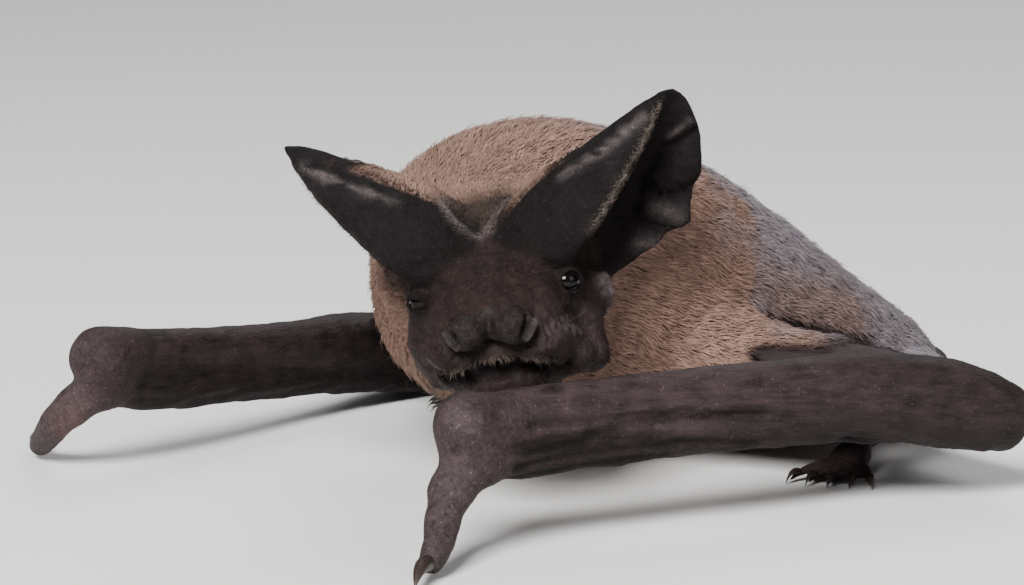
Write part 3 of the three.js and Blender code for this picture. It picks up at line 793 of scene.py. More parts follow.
def furriness(flesh):
    """How much of the full coat grows at each point, 0 to 1."""
    field = flesh.zone_is("trunk", "neck", "thigh").astype(float)
    field = np.where(flesh.on_head, 1 - naked_face(flesh), field)
    shoulder = smooth_step(27, 20, np.abs(flesh.points[:, 0])) * smooth_step(4, 7, flesh.points[:, 2])
    field = np.where(flesh.zone_is("upper_arm"), shoulder, field)
    field = np.maximum(spread(field, flesh.edges, 4), 0.9 * ear_back(flesh))
    turned = flesh.head_normals[:, 0] * np.sign(flesh.head[:, 0]) - flesh.head_normals[:, 1]
    inside = smooth_step(0.1, 0.5, turned)
    for path, reach, facing in ((EAR_HOLLOW, 3.0, 1.0), (CHEEK_FOLD, 1.2, 1.0), (EAR_INSIDE, 2.3, inside)):
        hollow = both_ridges(flesh.head, path, reach)
        field = field * (1 - np.clip(1.4 * hollow * facing, 0, 1))
    return field * (1 - np.clip(1.3 * wing_fold(flesh), 0, 1))


def coat_markings(flesh, looks):
    """The colour of the coat: cinnamon in front, greyer over the back and brown beneath, where the brown is
    partly the belly's own and partly painted shade.
    """
    x, y, z = flesh.points.T
    colour = np.tile(np.array(looks.cinnamon), (len(x), 1))
    mottle = billow(flesh.points, 7, 11)
    spots = smooth_step(0.3, 1.3, billow(flesh.points, 2.4, 12, 11) + 0.5 * billow(flesh.points, 1.1, 14, 11))
    up = flesh.normals[:, 2]
    bloom = smooth_step(-15, -4.5, y + 0.16 * z + 2.3 * mottle) * smooth_step(-0.5, 0.5, up)
    nape = smooth_step(26, 31, z + 0.8 * mottle) * smooth_step(-26, -19, y)
    colour = mixed(colour, looks.mauve_grey, np.maximum(bloom, 0.7 * nape))
    # The down-facing coat low on the body is browner: partly its own colour, partly painted shade.
    under = smooth_step(0.0, -0.75, up) * smooth_step(14, 7, z)
    colour = mixed(colour, looks.belly_brown, 0.8 * under)
    flank = ridge(np.c_[np.abs(x), y, z], FLANK_PATCH, FLANK_REACH)
    colour = mixed(colour, looks.cinnamon, 0.7 * flank)
    colour = colour * (1 - 0.22 * spots)[:, None]
    hx, hy, hz = flesh.head.T
    forehead = smooth_step(4.4, 2.0, np.abs(hx + 0.5)) * smooth_step(10.5, 5.5, hy)
    forehead *= smooth_step(3.0, 4.5, hz) * flesh.near_head
    colour = mixed(colour, looks.dark_tuft, 0.92 * forehead)
    return mixed(colour, looks.web_skin, 0.9 * wing_fold(flesh))


def plain_skin(flesh, looks):
    """The colour of the bare skin of each field, and of the coat where it grows."""
    bare = dict.fromkeys(("fingers", "wing_membrane", "front_web", "tail_membrane"), looks.web_skin)
    bare.update(ear=looks.ear_skin, nose_pad=looks.nose_skin)
    plain = np.array([bare.get(name, looks.arm_skin) for name in ZONE_NAMES])[flesh.zone]
    plain[flesh.on_head] = looks.face_skin
    plain = spread(plain, flesh.edges, 5)
    fur = smooth_step(0.1, 0.8, furriness(flesh))
    return plain + (coat_markings(flesh, looks) - plain) * fur[:, None]


def side_markings(flesh, looks, colour, side):
    """The pale rims, keel and cheek fold of one side of the head, with painted highlights on the ear's front
    edge and lobes, the lit cheek and fold and the wrist's knob, and painted shade in the ear's creases and
    hollow, round the eye, under the brow and in the nostril's slit.
    """
    head, near_head = flesh.head, flesh.near_head
    pale, left = looks.pale_skin, side > 0
    ears = flesh.share("ear", blur=3)
    patchy = smooth_step(-0.9, 0.6, billow(head, 1.6, 21))
    for path, tone, share, reach, field in (
        (NOSTRIL_RIM, pale, 0.4, 0.18, near_head),
        # the cheek's fold is pale skin, painted lighter still on the lit left side
        (CHEEK_FOLD, pale, 0.9 if left else 0.3, 0.8, near_head),
        # painted highlights on the ear's front edge and on its swollen lobes
        (EAR_FRONT_EDGE, pale, 0.5, 0.5, ears * patchy),
        (UPPER_LOBE, pale, 0.4, 0.3, ears),
        (LOWER_LOBE, pale, 0.3, 0.8, ears),
        (EAR_LOBE_HIGHLIGHT, pale, 0.25, 0.9, ears),
        (EAR_KEEL, pale, 0.3, 0.4, ears),
        # painted highlight on the cheek, stronger on the lit left side
        (CHEEK, pale, 0.15 if left else 0.03, 1.9, near_head),
        # painted shade in the ear's creases and in its hollow
        (MIDDLE_CREASE, PAINTED_HOLLOW_SHADE, 0.9, 0.4, ears),
        (LOWER_CREASE, PAINTED_HOLLOW_SHADE, 0.9, 0.4, ears),
        (EAR_HOLLOW, PAINTED_HOLLOW_SHADE, 0.8, 1.1, near_head),
    ):
        colour = mixed(colour, tone, share * ridge(head, on_side(path, side), reach) * field)
    # A painted highlight: the wrist's knob is made paler.
    knob = ridge(flesh.points, arm_line(KNOB_HIGHLIGHT, side), 1.7)
    colour = mixed(colour, pale, 0.16 * knob * flesh.zone_is("wrist", "forearm", "thumb"))
    # Painted shade round the eye, under the brow and in the nostril's slit.
    socket = ridge(head, on_side(EYE_PAINTED_SHADE, side), 2.2)
    socket = np.maximum(socket, 0.85 * ridge(head, on_side(BROW_PAINTED_SHADE, side), 1.7))
    slit = ridge(head, on_side(NOSTRIL, side), 0.28)
    return mixed(colour, PAINTED_HOLLOW_SHADE, np.maximum(0.95 * socket, 0.9 * slit) * near_head)


def arm_painted_shading(flesh):
    """Painted shade and highlights on the arms: darker in their folds, on their lower sides and towards the
    elbow, and lighter beside the folds and on their raised strands.
    """
    tone = np.ones(len(flesh.points))
    # Painted shade in the grooves, with painted highlights beside them and on the raised strands.
    for path, rise, reach in ARM_FOLDS:
        for side in (1, -1):
            line = arm_line(path, side)
            edge, fold = ridge(flesh.points, line, 3 * reach), ridge(flesh.points, line, 1.5 * reach)
            tone += (0.34 * edge - 1.1 * fold) if rise < 0 else 0.45 * fold
    x, y, z = flesh.points.T
    axis = np.interp(y, (WRIST[1], ELBOW[1]), (WRIST[2], ELBOW[2]))
    axis = axis - np.where(x < 0, ELBOW_DROP, 0) * smooth_step(WRIST[1], ELBOW[1], y)
    # Painted shade towards the elbow, and on the lower side of the forearm.
    tone *= 1 - 0.34 * smooth_step(-36, -16, y) * smooth_step(-60, -50, y)
    tone *= 1 - 0.3 * smooth_step(0.6, -1.6, z - axis) * smooth_step(-58, -50, y)
    arms = flesh.share("forearm", "fingers", "wrist", blur=3)
    return 1 + (tone.clip(0.22, 1.7) - 1) * arms


def markings(flesh, looks):
    """The colour of each point of the skin, from its place on the body, with painted shade in its hollows and
    painted highlights on its raised parts.
    """
    colour = plain_skin(flesh, looks)
    for side in (1, -1):
        colour = side_markings(flesh, looks, colour, side)
    colour = mixed(colour, looks.pale_skin, 0.13 * flesh.share("thumb"))
    colour = mixed(colour, looks.pink_skin, 0.6 * ridge(flesh.points, RIGHT_THUMB_ROOT, 1.2))
    colour = mixed(colour, looks.pale_skin, 0.4 * (ridge(flesh.head, BROW_V, 0.4) * flesh.near_head))
    # Painted shade inside the mouth, in its gap and under the nose.
    for path, share, reach in ((INSIDE_MOUTH, 0.95, 0.8), (MOUTH, 0.9, 0.5), (UNDER_NOSE, 0.6, 0.5)):
        shade = share * ridge(flesh.head, both_sides(path), reach) * flesh.near_head
        colour = mixed(colour, PAINTED_HOLLOW_SHADE, shade)
    return colour * arm_painted_shading(flesh)[:, None]


def matte_skin(flesh):
    """How dull the skin is: most on the brow and on the ears but for their front edges, less on the wings."""
    brow = flesh.on_head * smooth_step(-2.6, -0.6, flesh.head[:, 2]) * naked_face(flesh)
    ears = flesh.share("ear", blur=3)
    shine = both_ridges(flesh.head, EAR_FRONT_EDGE, 0.7)
    webs = flesh.share("front_web", "wing_membrane", "tail_membrane", blur=3)
    arms = flesh.share("forearm", "fingers", "upper_arm", "wrist", "thumb", "tail", "shin", blur=3)
    dull = np.maximum(brow, ears) * (1 - np.clip(shine, 0, 1))
    return spread(np.maximum(dull, 0.7 * webs + 0.3 * arms), flesh.edges, 4)


# The grain of the bare skin runs along each limb, here on the left side.
LIMB_RUNS = {
    "forearm": (ELBOW, WRIST),
    "fingers": ((35.2, 0.5, 4.6), (25.2, -54.2, 8.0)),
    "upper_arm": ((9, -19, 13), ELBOW),
    "shin": ((18.8, 10.5, 4.4), (21.6, -3.6, 2.8)),
    "wing_membrane": ((12, -4, 9), (34, 0, 5)),
    "front_web": ((18, -18, 12.6), (34, -14, 10.4)),
    "tail_membrane": ((1, 30, 3), (13, 16, 4)),
}
GRAIN_SQUEEZE = 0.82  # how much of a wrinkle's length is taken up along the limb


def grain(flesh):
    """Where each point lies in the wrinkles' own space, which is squeezed along the limbs, m."""
    points = flesh.points
    share = np.zeros(len(points))
    run, origin = np.zeros((2, len(points), 3))
    for name, line in LIMB_RUNS.items():
        here = flesh.zone == ZONE_NAMES.index(name)
        for side in (1, -1):
            chosen = here & (np.sign(points[:, 0]) == side)
            start, end = np.array(on_side(line, side), float)
            run[chosen] = (end - start) / np.linalg.norm(end - start)
            origin[chosen] = end
            share[chosen] = GRAIN_SQUEEZE
    share = spread(share, flesh.edges, 6)
    along = np.einsum("ij,ij->i", points - origin, run)
    return (points - (share * along)[:, None] * run) * MM


# ---- Finishes ----
EYE_BROWN = (0.005, 0.0035, 0.003)
HORN = (0.028, 0.019, 0.016)


class Finish:
    """A procedural material under construction."""

    def __init__(self, name, specular):
        self.material = bpy.data.materials.new(name)
        self.material.use_nodes = True
        self.shader = self.material.node_tree.nodes["Principled BSDF"]
        self.shader.inputs["Specular IOR Level"].default_value = specular

    def feed(self, socket, value):
        """Sets a plain value on a socket, or links another node's output to it."""
        if isinstance(value, bpy.types.NodeSocket):
            self.material.node_tree.links.new(value, socket)
        else:
            socket.default_value = value

    def node(self, kind, output, inputs, **settings):
        """Adds a node, sets it, feeds its inputs by name or number and gives one of its outputs."""
        node = self.material.node_tree.nodes.new(f"ShaderNode{kind}")
        for key, value in settings.items():
            setattr(node, key, value)
        for key, value in inputs.items():
            self.feed(node.inputs[key], value)
        return node.outputs[output]

    def attribute(self, name, output="Fac"):
        """A value that the mesh keeps at its vertices."""
        return self.node("Attribute", output, {}, attribute_name=name)

    def place(self):
        """The point of the object that is shaded."""
        return self.node("TexCoord", "Object", {})

    def noise(self, vector, scale, detail, roughness=0.5):
        """Cloudy noise, about 0.3 to 0.7."""
        inputs = {"Vector": vector, "Scale": scale, "Detail": detail, "Roughness": roughness}
        return self.node("TexNoise", "Fac", inputs)

    def cells(self, vector, scale):
        """How far a point is from the middle of its cell."""
        return self.node("TexVoronoi", "Distance", {"Vector": vector, "Scale": scale})

    def ramp(self, value, low, high, bottom=0.0, top=1.0):
        """A value stretched from low..high to bottom..top."""
        inputs = {"Value": value, "From Min": low, "From Max": high, "To Min": bottom, "To Max": top}
        return self.node("MapRange", "Result", inputs)

    def reckon(self, operation, first, second):
        """A sum or product of two values."""
        return self.node("Math", "Value", {0: first, 1: second}, operation=operation)

    def shaded(self, colour, value):
        """A colour made lighter or darker by a value."""
        return self.node("VectorMath", "Vector", {0: colour, "Scale": value}, operation="SCALE")

    def bump(self, height, strength, distance):
        """Relief in the shading, distance metres high."""
        inputs = {"Height": height, "Strength": strength, "Distance": distance}
        self.feed(self.shader.inputs["Normal"], self.node("Bump", "Normal", inputs))

    def made(self, colour, roughness):
        """The material, with its colour and roughness."""
        self.feed(self.shader.inputs["Base Color"], colour)
        self.feed(self.shader.inputs["Roughness"], roughness)
        return self.material


def skin_finish():
    """Dark, leathery, finely wrinkled skin, in the markings' colours."""
    finish = Finish("bat_skin", specular=0.09)
    folds = finish.attribute("grain", "Vector")
    wrinkle = finish.noise(folds, scale=1900, detail=5, roughness=0.62)
    pores = finish.cells(folds, scale=5200)
    blotch = finish.noise(finish.place(), scale=420, detail=4, roughness=0.6)
    fine = finish.noise(finish.place(), scale=7000, detail=2)
    specks = finish.cells(finish.place(), scale=1500)
    tone = finish.ramp(blotch, 0.3, 0.7, 0.68, 1.25)
    tone = finish.reckon("ADD", tone, finish.ramp(wrinkle, 0.35, 0.7, -0.3, 0.4))
    tone = finish.reckon("ADD", tone, finish.ramp(fine, 0.3, 0.7, -0.24, 0.26))
    tone = finish.reckon("ADD", tone, finish.ramp(specks, 0.07, 0.2, 1.1, 0.0))
    dull = finish.reckon("MULTIPLY", finish.attribute("matte"), 0.32)
    rough = finish.reckon("ADD", finish.ramp(wrinkle, 0.3, 0.7, 0.44, 0.6), dull)
    height = finish.reckon("ADD", wrinkle, finish.reckon("MULTIPLY", pores, 0.22))
    finish.bump(height, finish.ramp(finish.attribute("bare"), 0.0, 1.0, 0.25, 0.75), 0.00022)
    return finish.made(finish.shaded(finish.attribute("tint", "Color"), tone), rough)


def coat_finish():
    """Soft short hair, flecked, in the markings' colours."""
    finish = Finish("bat_coat", specular=0.06)
    fleck = finish.noise(finish.place(), scale=1300, detail=3)
    colour = finish.shaded(finish.attribute("tint", "Color"), finish.ramp(fleck, 0.3, 0.7, 0.8, 1.2))
    return finish.made(colour, 0.75)


def eye_finish():
    """A wet black eye with a faint dark brown ring round its pupil."""
    finish = Finish("bat_eye", specular=0.18)
    streaks = finish.ramp(finish.noise(finish.place(), scale=3000, detail=3), 0.3, 0.7, 0.6, 1.3)
    ring = finish.ramp(finish.attribute("ring"), 0.0, 1.0, 0.15, 1.0)
    glow = finish.reckon("MULTIPLY", ring, streaks)
    return finish.made(finish.shaded(EYE_BROWN, glow), 0.05)


def claw_finish():
    """Dark horn with fine lines, paler towards the point."""
    finish = Finish("bat_claw", specular=0.3)
    lines = finish.noise(finish.place(), scale=2600, detail=3)
    paler = finish.ramp(finish.attribute("along"), 0.0, 1.0, 0.7, 1.2)
    tone = finish.reckon("ADD", paler, finish.ramp(lines, 0.3, 0.7, -0.15, 0.15))
    finish.bump(lines, 0.4, 0.00005)
    return finish.made(finish.shaded(HORN, tone), 0.4)


# ---- Tufts ----
# A tuft is a slender three-sided lock: a point in the skin, a ring round its middle and a point at its tip.
TUFT_POINTS = 5
TUFT_FACES = ((0, 2, 1), (0, 3, 2), (0, 1, 3), (1, 2, 4), (2, 3, 4), (3, 1, 4))
TUFT_TONES = (0.95, 0.95, 0.95, 1.08)  # of the ring and the tip
TUFT_SPOTS = ((0, -0.5), (-0.5, 0.0), (0.5, 0.0), (0, 0.1), (0, 0.5))  # on its patch
# How its shading leans at each point, across and ahead.
TUFT_LEANS = ((0.0, -0.1), (-0.4, 0.0), (0.4, 0.0), (0.0, 0.0), (0.0, 0.3))
ROOT_DEPTH = 0.12  # of a tuft in the skin, mm
TUFTS_IN_PIECE = 32000  # which keeps a piece under 200,000 triangles
PATCH = 0.003  # a tuft's patch on the unwrap


def unwrapped(skin):
    """The skin's own unwrap at each corner of its triangles."""
    only(skin)
    bpy.ops.object.mode_set(mode="EDIT")
    bpy.ops.mesh.select_all(action="SELECT")
    bpy.ops.uv.smart_project(angle_limit=math.radians(66), island_margin=0.004)
    bpy.ops.object.mode_set(mode="OBJECT")
    layer = skin.data.uv_layers.active
    flat = np.empty(len(layer.data) * 2)
    layer.data.foreach_get("uv", flat)
    skin.data.calc_loop_triangles()
    loops = np.empty(len(skin.data.loop_triangles) * 3, np.int32)
    skin.data.loop_triangles.foreach_get("loops", loops)
    return flat.reshape(-1, 2)[loops.reshape(-1, 3)]


class Roots:
    """Where tufts grow, with the skin's normal, colour and unwrap at each place."""

    def __init__(self, work, density, seed):
        flesh, faces = work["flesh"], work["faces"]
        rng = np.random.default_rng(seed)
        wanted = area_of(flesh.points[faces]) * density[faces].mean(axis=1)
        count = np.floor(wanted + rng.random(len(wanted))).astype(int)
        face = np.repeat(np.arange(len(faces)), count)
        a, b = rng.random((2, len(face)))
        over = a + b > 1
        a[over], b[over] = 1 - a[over], 1 - b[over]
        self.weights = np.stack([1 - a - b, a, b], axis=1)
        self.corners = faces[face]
        self.count = len(face)
        self.points = self.at(flesh.points)
        self.up = unit(self.at(flesh.soft_normals))
        self.tint = self.at(work["tint"])
        self.zone = flesh.zone[self.corners[:, 0]]
        self.unwrap = np.einsum("ij,ijk->ik", self.weights, work["unwrap"][face])
        self.rng = rng

    def at(self, values):
        """A field of the skin, at each root."""
        return np.einsum("ij,ij...->i...", self.weights, values[self.corners])

    def along_skin(self, lie, hold=1.0):
        """Directions laid down on the skin, as far as they are held to it."""
        lie = lie - np.einsum("ij,ij->i", lie, self.up)[:, None] * self.up * hold
        return unit(lie)

    def shape(self, lie, length, width, rise, root_shade):
        """Gives the tufts their lie, their length and width (mm), and their rise and root shade (shares)."""
        self.lie, self.length, self.width, self.rise = lie, length, width, rise
        self.root_shade = root_shade


def soften_shading(mesh, up, along):
    """Turns a tuft's shading towards the skin's normal, so that the coat reads as plush."""
    side = np.cross(up, along)
    normals = np.stack([up + side * across + along * ahead for across, ahead in TUFT_LEANS], axis=1)
    mesh.normals_split_custom_set_from_vertices(unit(normals.reshape(-1, 3)))


def tuft_points(roots, part):
    """The five points of each tuft, mm."""
    base, up, along = roots.points[part], roots.up[part], roots.lie[part]
    side = np.cross(up, along)
    long, wide, rise = roots.length[part][:, None], roots.width[part][:, None], roots.rise[part][:, None]
    middle = base + along * long * 0.45 + up * long * rise * 0.66
    points = np.empty((len(part), TUFT_POINTS, 3))
    points[:, 0] = base - up * ROOT_DEPTH
    points[:, 1] = middle - side * wide * 0.5
    points[:, 2] = middle + side * wide * 0.5
    points[:, 3] = middle + up * wide * 0.42
    points[:, 4] = base + along * long * 0.96 + up * long * rise * 0.7
    points[:, :, 2] = np.maximum(points[:, :, 2], FLOOR_GAP)
    return points


def tuft_colours(roots, part):
    """The colour of each of the tufts' points, darkest at the root."""
    shade = np.array([roots.root_shade, *TUFT_TONES])
    tone = 1 + 0.11 * roots.rng.normal(size=(len(part), 1)).clip(-2, 2)
    colour = roots.tint[part][:, None, :] * (shade[None, :] * tone)[:, :, None]
    return np.concatenate([colour, np.ones((len(part), TUFT_POINTS, 1))], axis=2)


def tuft_piece(name, roots, part):
    """One coat piece, from some of the roots."""
    starts = np.arange(len(part))[:, None, None] * TUFT_POINTS
    faces = (starts + np.array(TUFT_FACES)).reshape(-1, 3)
    mesh = bpy.data.meshes.new(name)
    mesh.vertices.add(len(part) * TUFT_POINTS)
    mesh.vertices.foreach_set("co", (tuft_points(roots, part) * MM).ravel())
    mesh.loops.add(faces.size)
    mesh.loops.foreach_set("vertex_index", faces.ravel().astype(np.int32))
    mesh.polygons.add(len(faces))
    mesh.polygons.foreach_set("loop_start", np.arange(0, faces.size, 3, dtype=np.int32))
    mesh.polygons.foreach_set("use_smooth", np.ones(len(faces), bool))
    mesh.update(calc_edges=True)
    store(mesh, "tint", "FLOAT_COLOR", tuft_colours(roots, part))
    patch = roots.unwrap[part][:, None, :] + np.array(TUFT_SPOTS) * PATCH
    bake = mesh.uv_layers.new(name="OFBake")
    bake.data.foreach_set("uv", patch.reshape(-1, 2)[faces.ravel()].astype(np.float32).ravel())
    soften_shading(mesh, roots.up[part], roots.lie[part])
    piece = bpy.data.objects.new(name, mesh)
    bpy.context.scene.collection.objects.link(piece)
    return piece


def tuft_meshes(name, roots):
    """Solid tufts on their roots, in pieces from the bat's front to its back."""
    order = np.argsort(roots.points[:, 1], kind="stable")
    pieces = []
    for number, start in enumerate(range(0, len(order), TUFTS_IN_PIECE), 1):
        pieces.append(tuft_piece(f"{name}_{number}", roots, order[start : start + TUFTS_IN_PIECE]))
    return pieces


# ---- The coat, the hairs of the bare skin and the whiskers ----
WHISKERS = 46  # about so many
COAT_SEED, HAIR_SEED, WHISKER_SEED = 5, 9, 13
HEAD_REACH = 26  # mm from between the eyes, past which hairs aren't the head's
LIP_BRISTLES = [(0, -7.85, -4.8), (1.7, -7.6, -5.05), (3.4, -7.95, -5.35), (4.6, -7.0, -5.8)]


def lie_of_coat(roots, limbs):
    """The way that the coat lies at each root: back from the face, down the flanks, out along the limbs."""
    x = roots.points[:, 0]
    head = to_head(roots.points)
    ones = np.ones(len(x))
    body = np.stack([0.02 * x, ones, -0.45 * smooth_step(2, 14, np.abs(x))], axis=1)
    crown = np.stack([0.05 * head[:, 0], ones, 0.25 - 0.06 * np.abs(head[:, 0])], axis=1)
    crown = crown @ head_turn().T
    out = unit(np.stack([0.8 * np.sign(x), 0.6 * ones, -0.35 * ones], axis=1))
    on_head = smooth_step(17, 9, np.linalg.norm(head - (0, 2, 0), axis=1))[:, None]
    lie = unit(body * (1 - on_head) + crown * on_head)
    lie += (out - lie) * limbs[:, None]
    wander = np.stack([billow(roots.points, 5, seed) for seed in (31, 32, 33)], axis=1)
    lie = unit(lie) + 0.16 * wander + 0.2 * roots.rng.normal(size=lie.shape)
    return roots.along_skin(lie)


def grown_coat(work, sizes):
    """All the tufts of the body's coat."""
    flesh = work["flesh"]
    fur = furriness(flesh)
    fine = spread(flesh.zone_is("head", "lower_jaw", "ear").astype(float), flesh.edges, 8)
    below = smooth_step(-0.2, -0.8, flesh.normals[:, 2]) * smooth_step(8, 4, flesh.points[:, 2])
    density = sizes.tufts_per_mm2 * (1 + 0.7 * fine) * (1 - 0.6 * below) * smooth_step(0.08, 0.6, fur)
    roots = Roots(work, density, COAT_SEED)
    rng = roots.rng
    fine, fur = roots.at(fine), roots.at(fur)
    limbs = roots.at(flesh.share("thigh", "upper_arm", blur=40))
    clump = billow(roots.points, 2.2, 41)
    length = sizes.tuft_length / MM * (1 - 0.42 * fine) * (0.5 + 0.5 * fur)
    length = length * (1 + 0.1 * clump + 0.12 * rng.normal(size=roots.count)).clip(0.5, 1.5)
    width = sizes.tuft_width / MM * (1 - 0.2 * fine) * rng.uniform(0.75, 1.25, roots.count)
    rise = sizes.tuft_rise * (1 - 0.35 * fine) + 0.05 * clump + 0.08 * rng.normal(size=roots.count)
    roots.tint = roots.tint * (1 + 0.07 * clump)[:, None]
    roots.shape(lie_of_coat(roots, limbs), length, width, rise.clip(0.06, 0.8), sizes.root_shade)
    return tuft_meshes("coat", roots)


def hair_density(flesh, sizes):
    """Hairs on each square millimetre of the bare skin, how pale they are, and where they are bristles."""
    head = flesh.head
    face = flesh.on_head * naked_face(flesh)
    ears = flesh.zone_is("ear").astype(float)
    near_root = smooth_step(15, 7, np.abs(head[:, 0]))
    limbs = flesh.zone_is("upper_arm", "forearm", "wrist", "thumb", "shin", "tail").astype(float)
    feet = flesh.zone_is("foot").astype(float)
    upper = smooth_step(-1.0, 1.5, head[:, 2])
    density = (14.0 + 6.0 * upper) * face + (3.0 + 5.0 * near_root) * ears + 2.5 * limbs + 2.2 * feet
    pale = (0.02 + 0.03 * upper) * face + 0.03 * ears + 0.01 * limbs
    right_keel = ridge(head, on_side(EAR_KEEL, -1), 0.45)
    keel = np.maximum(ridge(head, EAR_KEEL, 0.75), 0.6 * right_keel) * ears
    brow = ridge(head, BROW_V, 0.38) * flesh.near_head
    bristles = ridge(head, both_sides(LIP_BRISTLES), 0.28) * flesh.near_head
    density += sizes.line_hairs_per_mm2 * (keel + 0.6 * brow + 0.45 * bristles)
    pale = np.maximum(pale, np.maximum(0.72 * keel, np.maximum(0.5 * brow, 0.4 * bristles)))
    return spread(density, flesh.edges, 1), spread(pale, flesh.edges, 2), spread(bristles, flesh.edges, 1)


def lie_of_hairs(roots, bristle):
    """Face hairs lie back and outwards from the nose and down over the lip, and an ear's lie outwards."""
    head = to_head(roots.points)
    x, y, z = head.T
    ones = np.ones(len(x))
    lie = np.stack([0.35 * np.sign(x), ones, 0.2 * ones], axis=1)
    lip = smooth_step(-3.2, -4.4, z) * smooth_step(-1.0, -4.0, y)
    lie += lip[:, None] * np.stack([0.12 * x, -1.4 * ones, -1.8 * ones], axis=1)
    on_ear = roots.zone == ZONE_NAMES.index("ear")
    lie[on_ear] = np.stack([np.sign(x), -0.3 * ones, 0.1 * ones], axis=1)[on_ear]
    lie = lie @ head_turn().T
    lie[np.linalg.norm(head, axis=1) > HEAD_REACH] = (0.2, 1.0, -0.1)
    lie = unit(lie) + 0.35 * roots.rng.normal(size=lie.shape)
    return roots.along_skin(lie, 1 - 0.5 * bristle[:, None])


def grown_hairs(work, sizes, looks):
    """Fine hairs of the face, the ears and the limbs, and the bristles of the lip."""
    density, pale, bristles = hair_density(work["flesh"], sizes)
    roots = Roots(work, density, HAIR_SEED)
    rng = roots.rng
    pale, bristle = roots.at(pale), roots.at(bristles)
    roots.tint = mixed(roots.tint * 1.25, looks.pale_hair, pale)
    feet = roots.zone == ZONE_NAMES.index("foot")
    length = (0.4 + 0.25 * pale + 0.3 * bristle + 0.5 * feet) * rng.uniform(0.6, 1.3, roots.count)
    width = (0.028 + 0.04 * pale + 0.02 * bristle) * rng.uniform(0.8, 1.2, roots.count)
    rise = (0.2 + 0.5 * pale + 0.3 * bristle) * rng.uniform(0.6, 1.4, roots.count)
    roots.shape(lie_of_hairs(roots, bristle), length, width, rise, 0.7)
    return tuft_meshes("hair", roots)


def grown_whiskers(work, looks):
    """Long thin hairs on the lips and the chin."""
    flesh, faces = work["flesh"], work["faces"]
    x, y, z = flesh.head.T
    chin = smooth_step(-5.6, -7.4, z) * smooth_step(1.0, -3.0, y)
    lip = smooth_step(-2.0, -3.6, z) * smooth_step(-1.0, -4.0, y) * smooth_step(2.4, 3.8, np.abs(x))
    field = flesh.on_head * (chin + lip)
    total = (area_of(flesh.points[faces]) * field[faces].mean(axis=1)).sum()
    roots = Roots(work, field * WHISKERS / total, WHISKER_SEED)
    roots.tint = np.tile(np.array(looks.pale_hair) * 0.2, (roots.count, 1))
    length = roots.rng.uniform(1.4, 3.4, roots.count)
    width = np.full(roots.count, 0.03)
    rise = roots.rng.uniform(0.6, 1.2, roots.count)
    roots.shape(lie_of_hairs(roots, np.ones(roots.count)), length, width, rise, 0.8)
    return tuft_meshes("whiskers", roots)


# ---- Eyes and claws ----
CLAW_STEPS = 9  # rings from its root to its point
CLAW_TIP = 0.03  # the radius of the last ring, mm
# Each thumb claw starts inside the thumb, and runs by its bend to its point, mm.
THUMB_CLAWS = {
    "left": ((27.8, -64.2, 1.4), (29.6, -67.0, 2.1), (30.3, -67.9, 0.35)),
    "right": ((-34.7, -56.6, 1.35), (-37.7, -55.1, 2.1), (-38.8, -54.7, 0.35)),
}
THUMB_CLAW_RADIUS = 0.7
TOES = 5
TOE_SPREAD = 0.36  # radians from the middle toe to the outer one
FOOT_HEADING = -1.12  # radians from +X, for the left foot
HEEL = (21.4, -4.2)
TOE_CLAW = ((9.3, 0.85), (10.6, 1.5), (11.3, 0.12))  # each point's distance from the heel, and its height
TOE_CLAW_RADIUS = 0.33


def eyeball(side):
    """A smooth eye whose cornea stands out a little, facing out of the lids."""
    bpy.ops.object.select_all(action="DESELECT")
    bpy.ops.mesh.primitive_uv_sphere_add(segments=48, ring_count=32, radius=EYE_RADIUS * MM)
    eye = bpy.context.object
    eye.name = "eye_ball_left" if side > 0 else "eye_ball_right"
    points = points_of(eye.data)
    tilt = np.arccos(np.clip(points[:, 2] / EYE_RADIUS, -1, 1))
    points *= (1 + 0.05 * np.exp(-((tilt / 0.55) ** 2)))[:, None]
    facing = head_turn() @ on_side([EYE_FACING], side)[0]
    turn = np.array(Vector(facing).to_track_quat("Z", "Y").to_matrix())
    place_points(eye.data, points @ turn.T + eye_centre(side))
    store(eye.data, "ring", "FLOAT", np.exp(-(((tilt - 0.5) / 0.16) ** 2)))
    bpy.ops.object.shade_smooth()
    return eye


def claw(name, path, radius):
    """A hooked claw: a ring extruded along an arc, narrowing to its point."""
    start, bend, end = (np.array(p) * MM for p in path)
    shares = np.linspace(0, 1, CLAW_STEPS)
    arc = [(1 - t) ** 2 * start + 2 * t * (1 - t) * bend + t * t * end for t in shares]
    widths = [radius * MM * (1 - t**1.6) + CLAW_TIP * MM for t in shares]
    bpy.ops.object.select_all(action="DESELECT")
    heading = Vector(arc[1] - arc[0]).to_track_quat("Z", "Y").to_euler()
    bpy.ops.mesh.primitive_circle_add(
        vertices=12, radius=widths[0], fill_type="NGON", location=arc[0], rotation=heading
    )
    piece = bpy.context.object
    piece.name = name
    bpy.ops.object.transform_apply(location=True, rotation=True, scale=True)
    bpy.ops.object.mode_set(mode="EDIT")
    bpy.ops.mesh.select_all(action="SELECT")
    for step in range(1, CLAW_STEPS):
        move = Vector(arc[step] - arc[step - 1])
        bpy.ops.mesh.extrude_region_move(TRANSFORM_OT_translate={"value": move})
        share = widths[step] / widths[step - 1]
        bpy.ops.transform.resize(value=(share,) * 3, center_override=tuple(arc[step]))
    bpy.ops.mesh.select_all(action="SELECT")
    bpy.ops.mesh.normals_make_consistent(inside=False)
    bpy.ops.object.mode_set(mode="OBJECT")
    chord = end - start
    along = np.clip((points_of(piece.data) * MM - start) @ chord / (chord @ chord), 0, 1)
    store(piece.data, "along", "FLOAT", along)
    bpy.ops.object.shade_smooth_by_angle(angle=math.radians(50))
    return piece


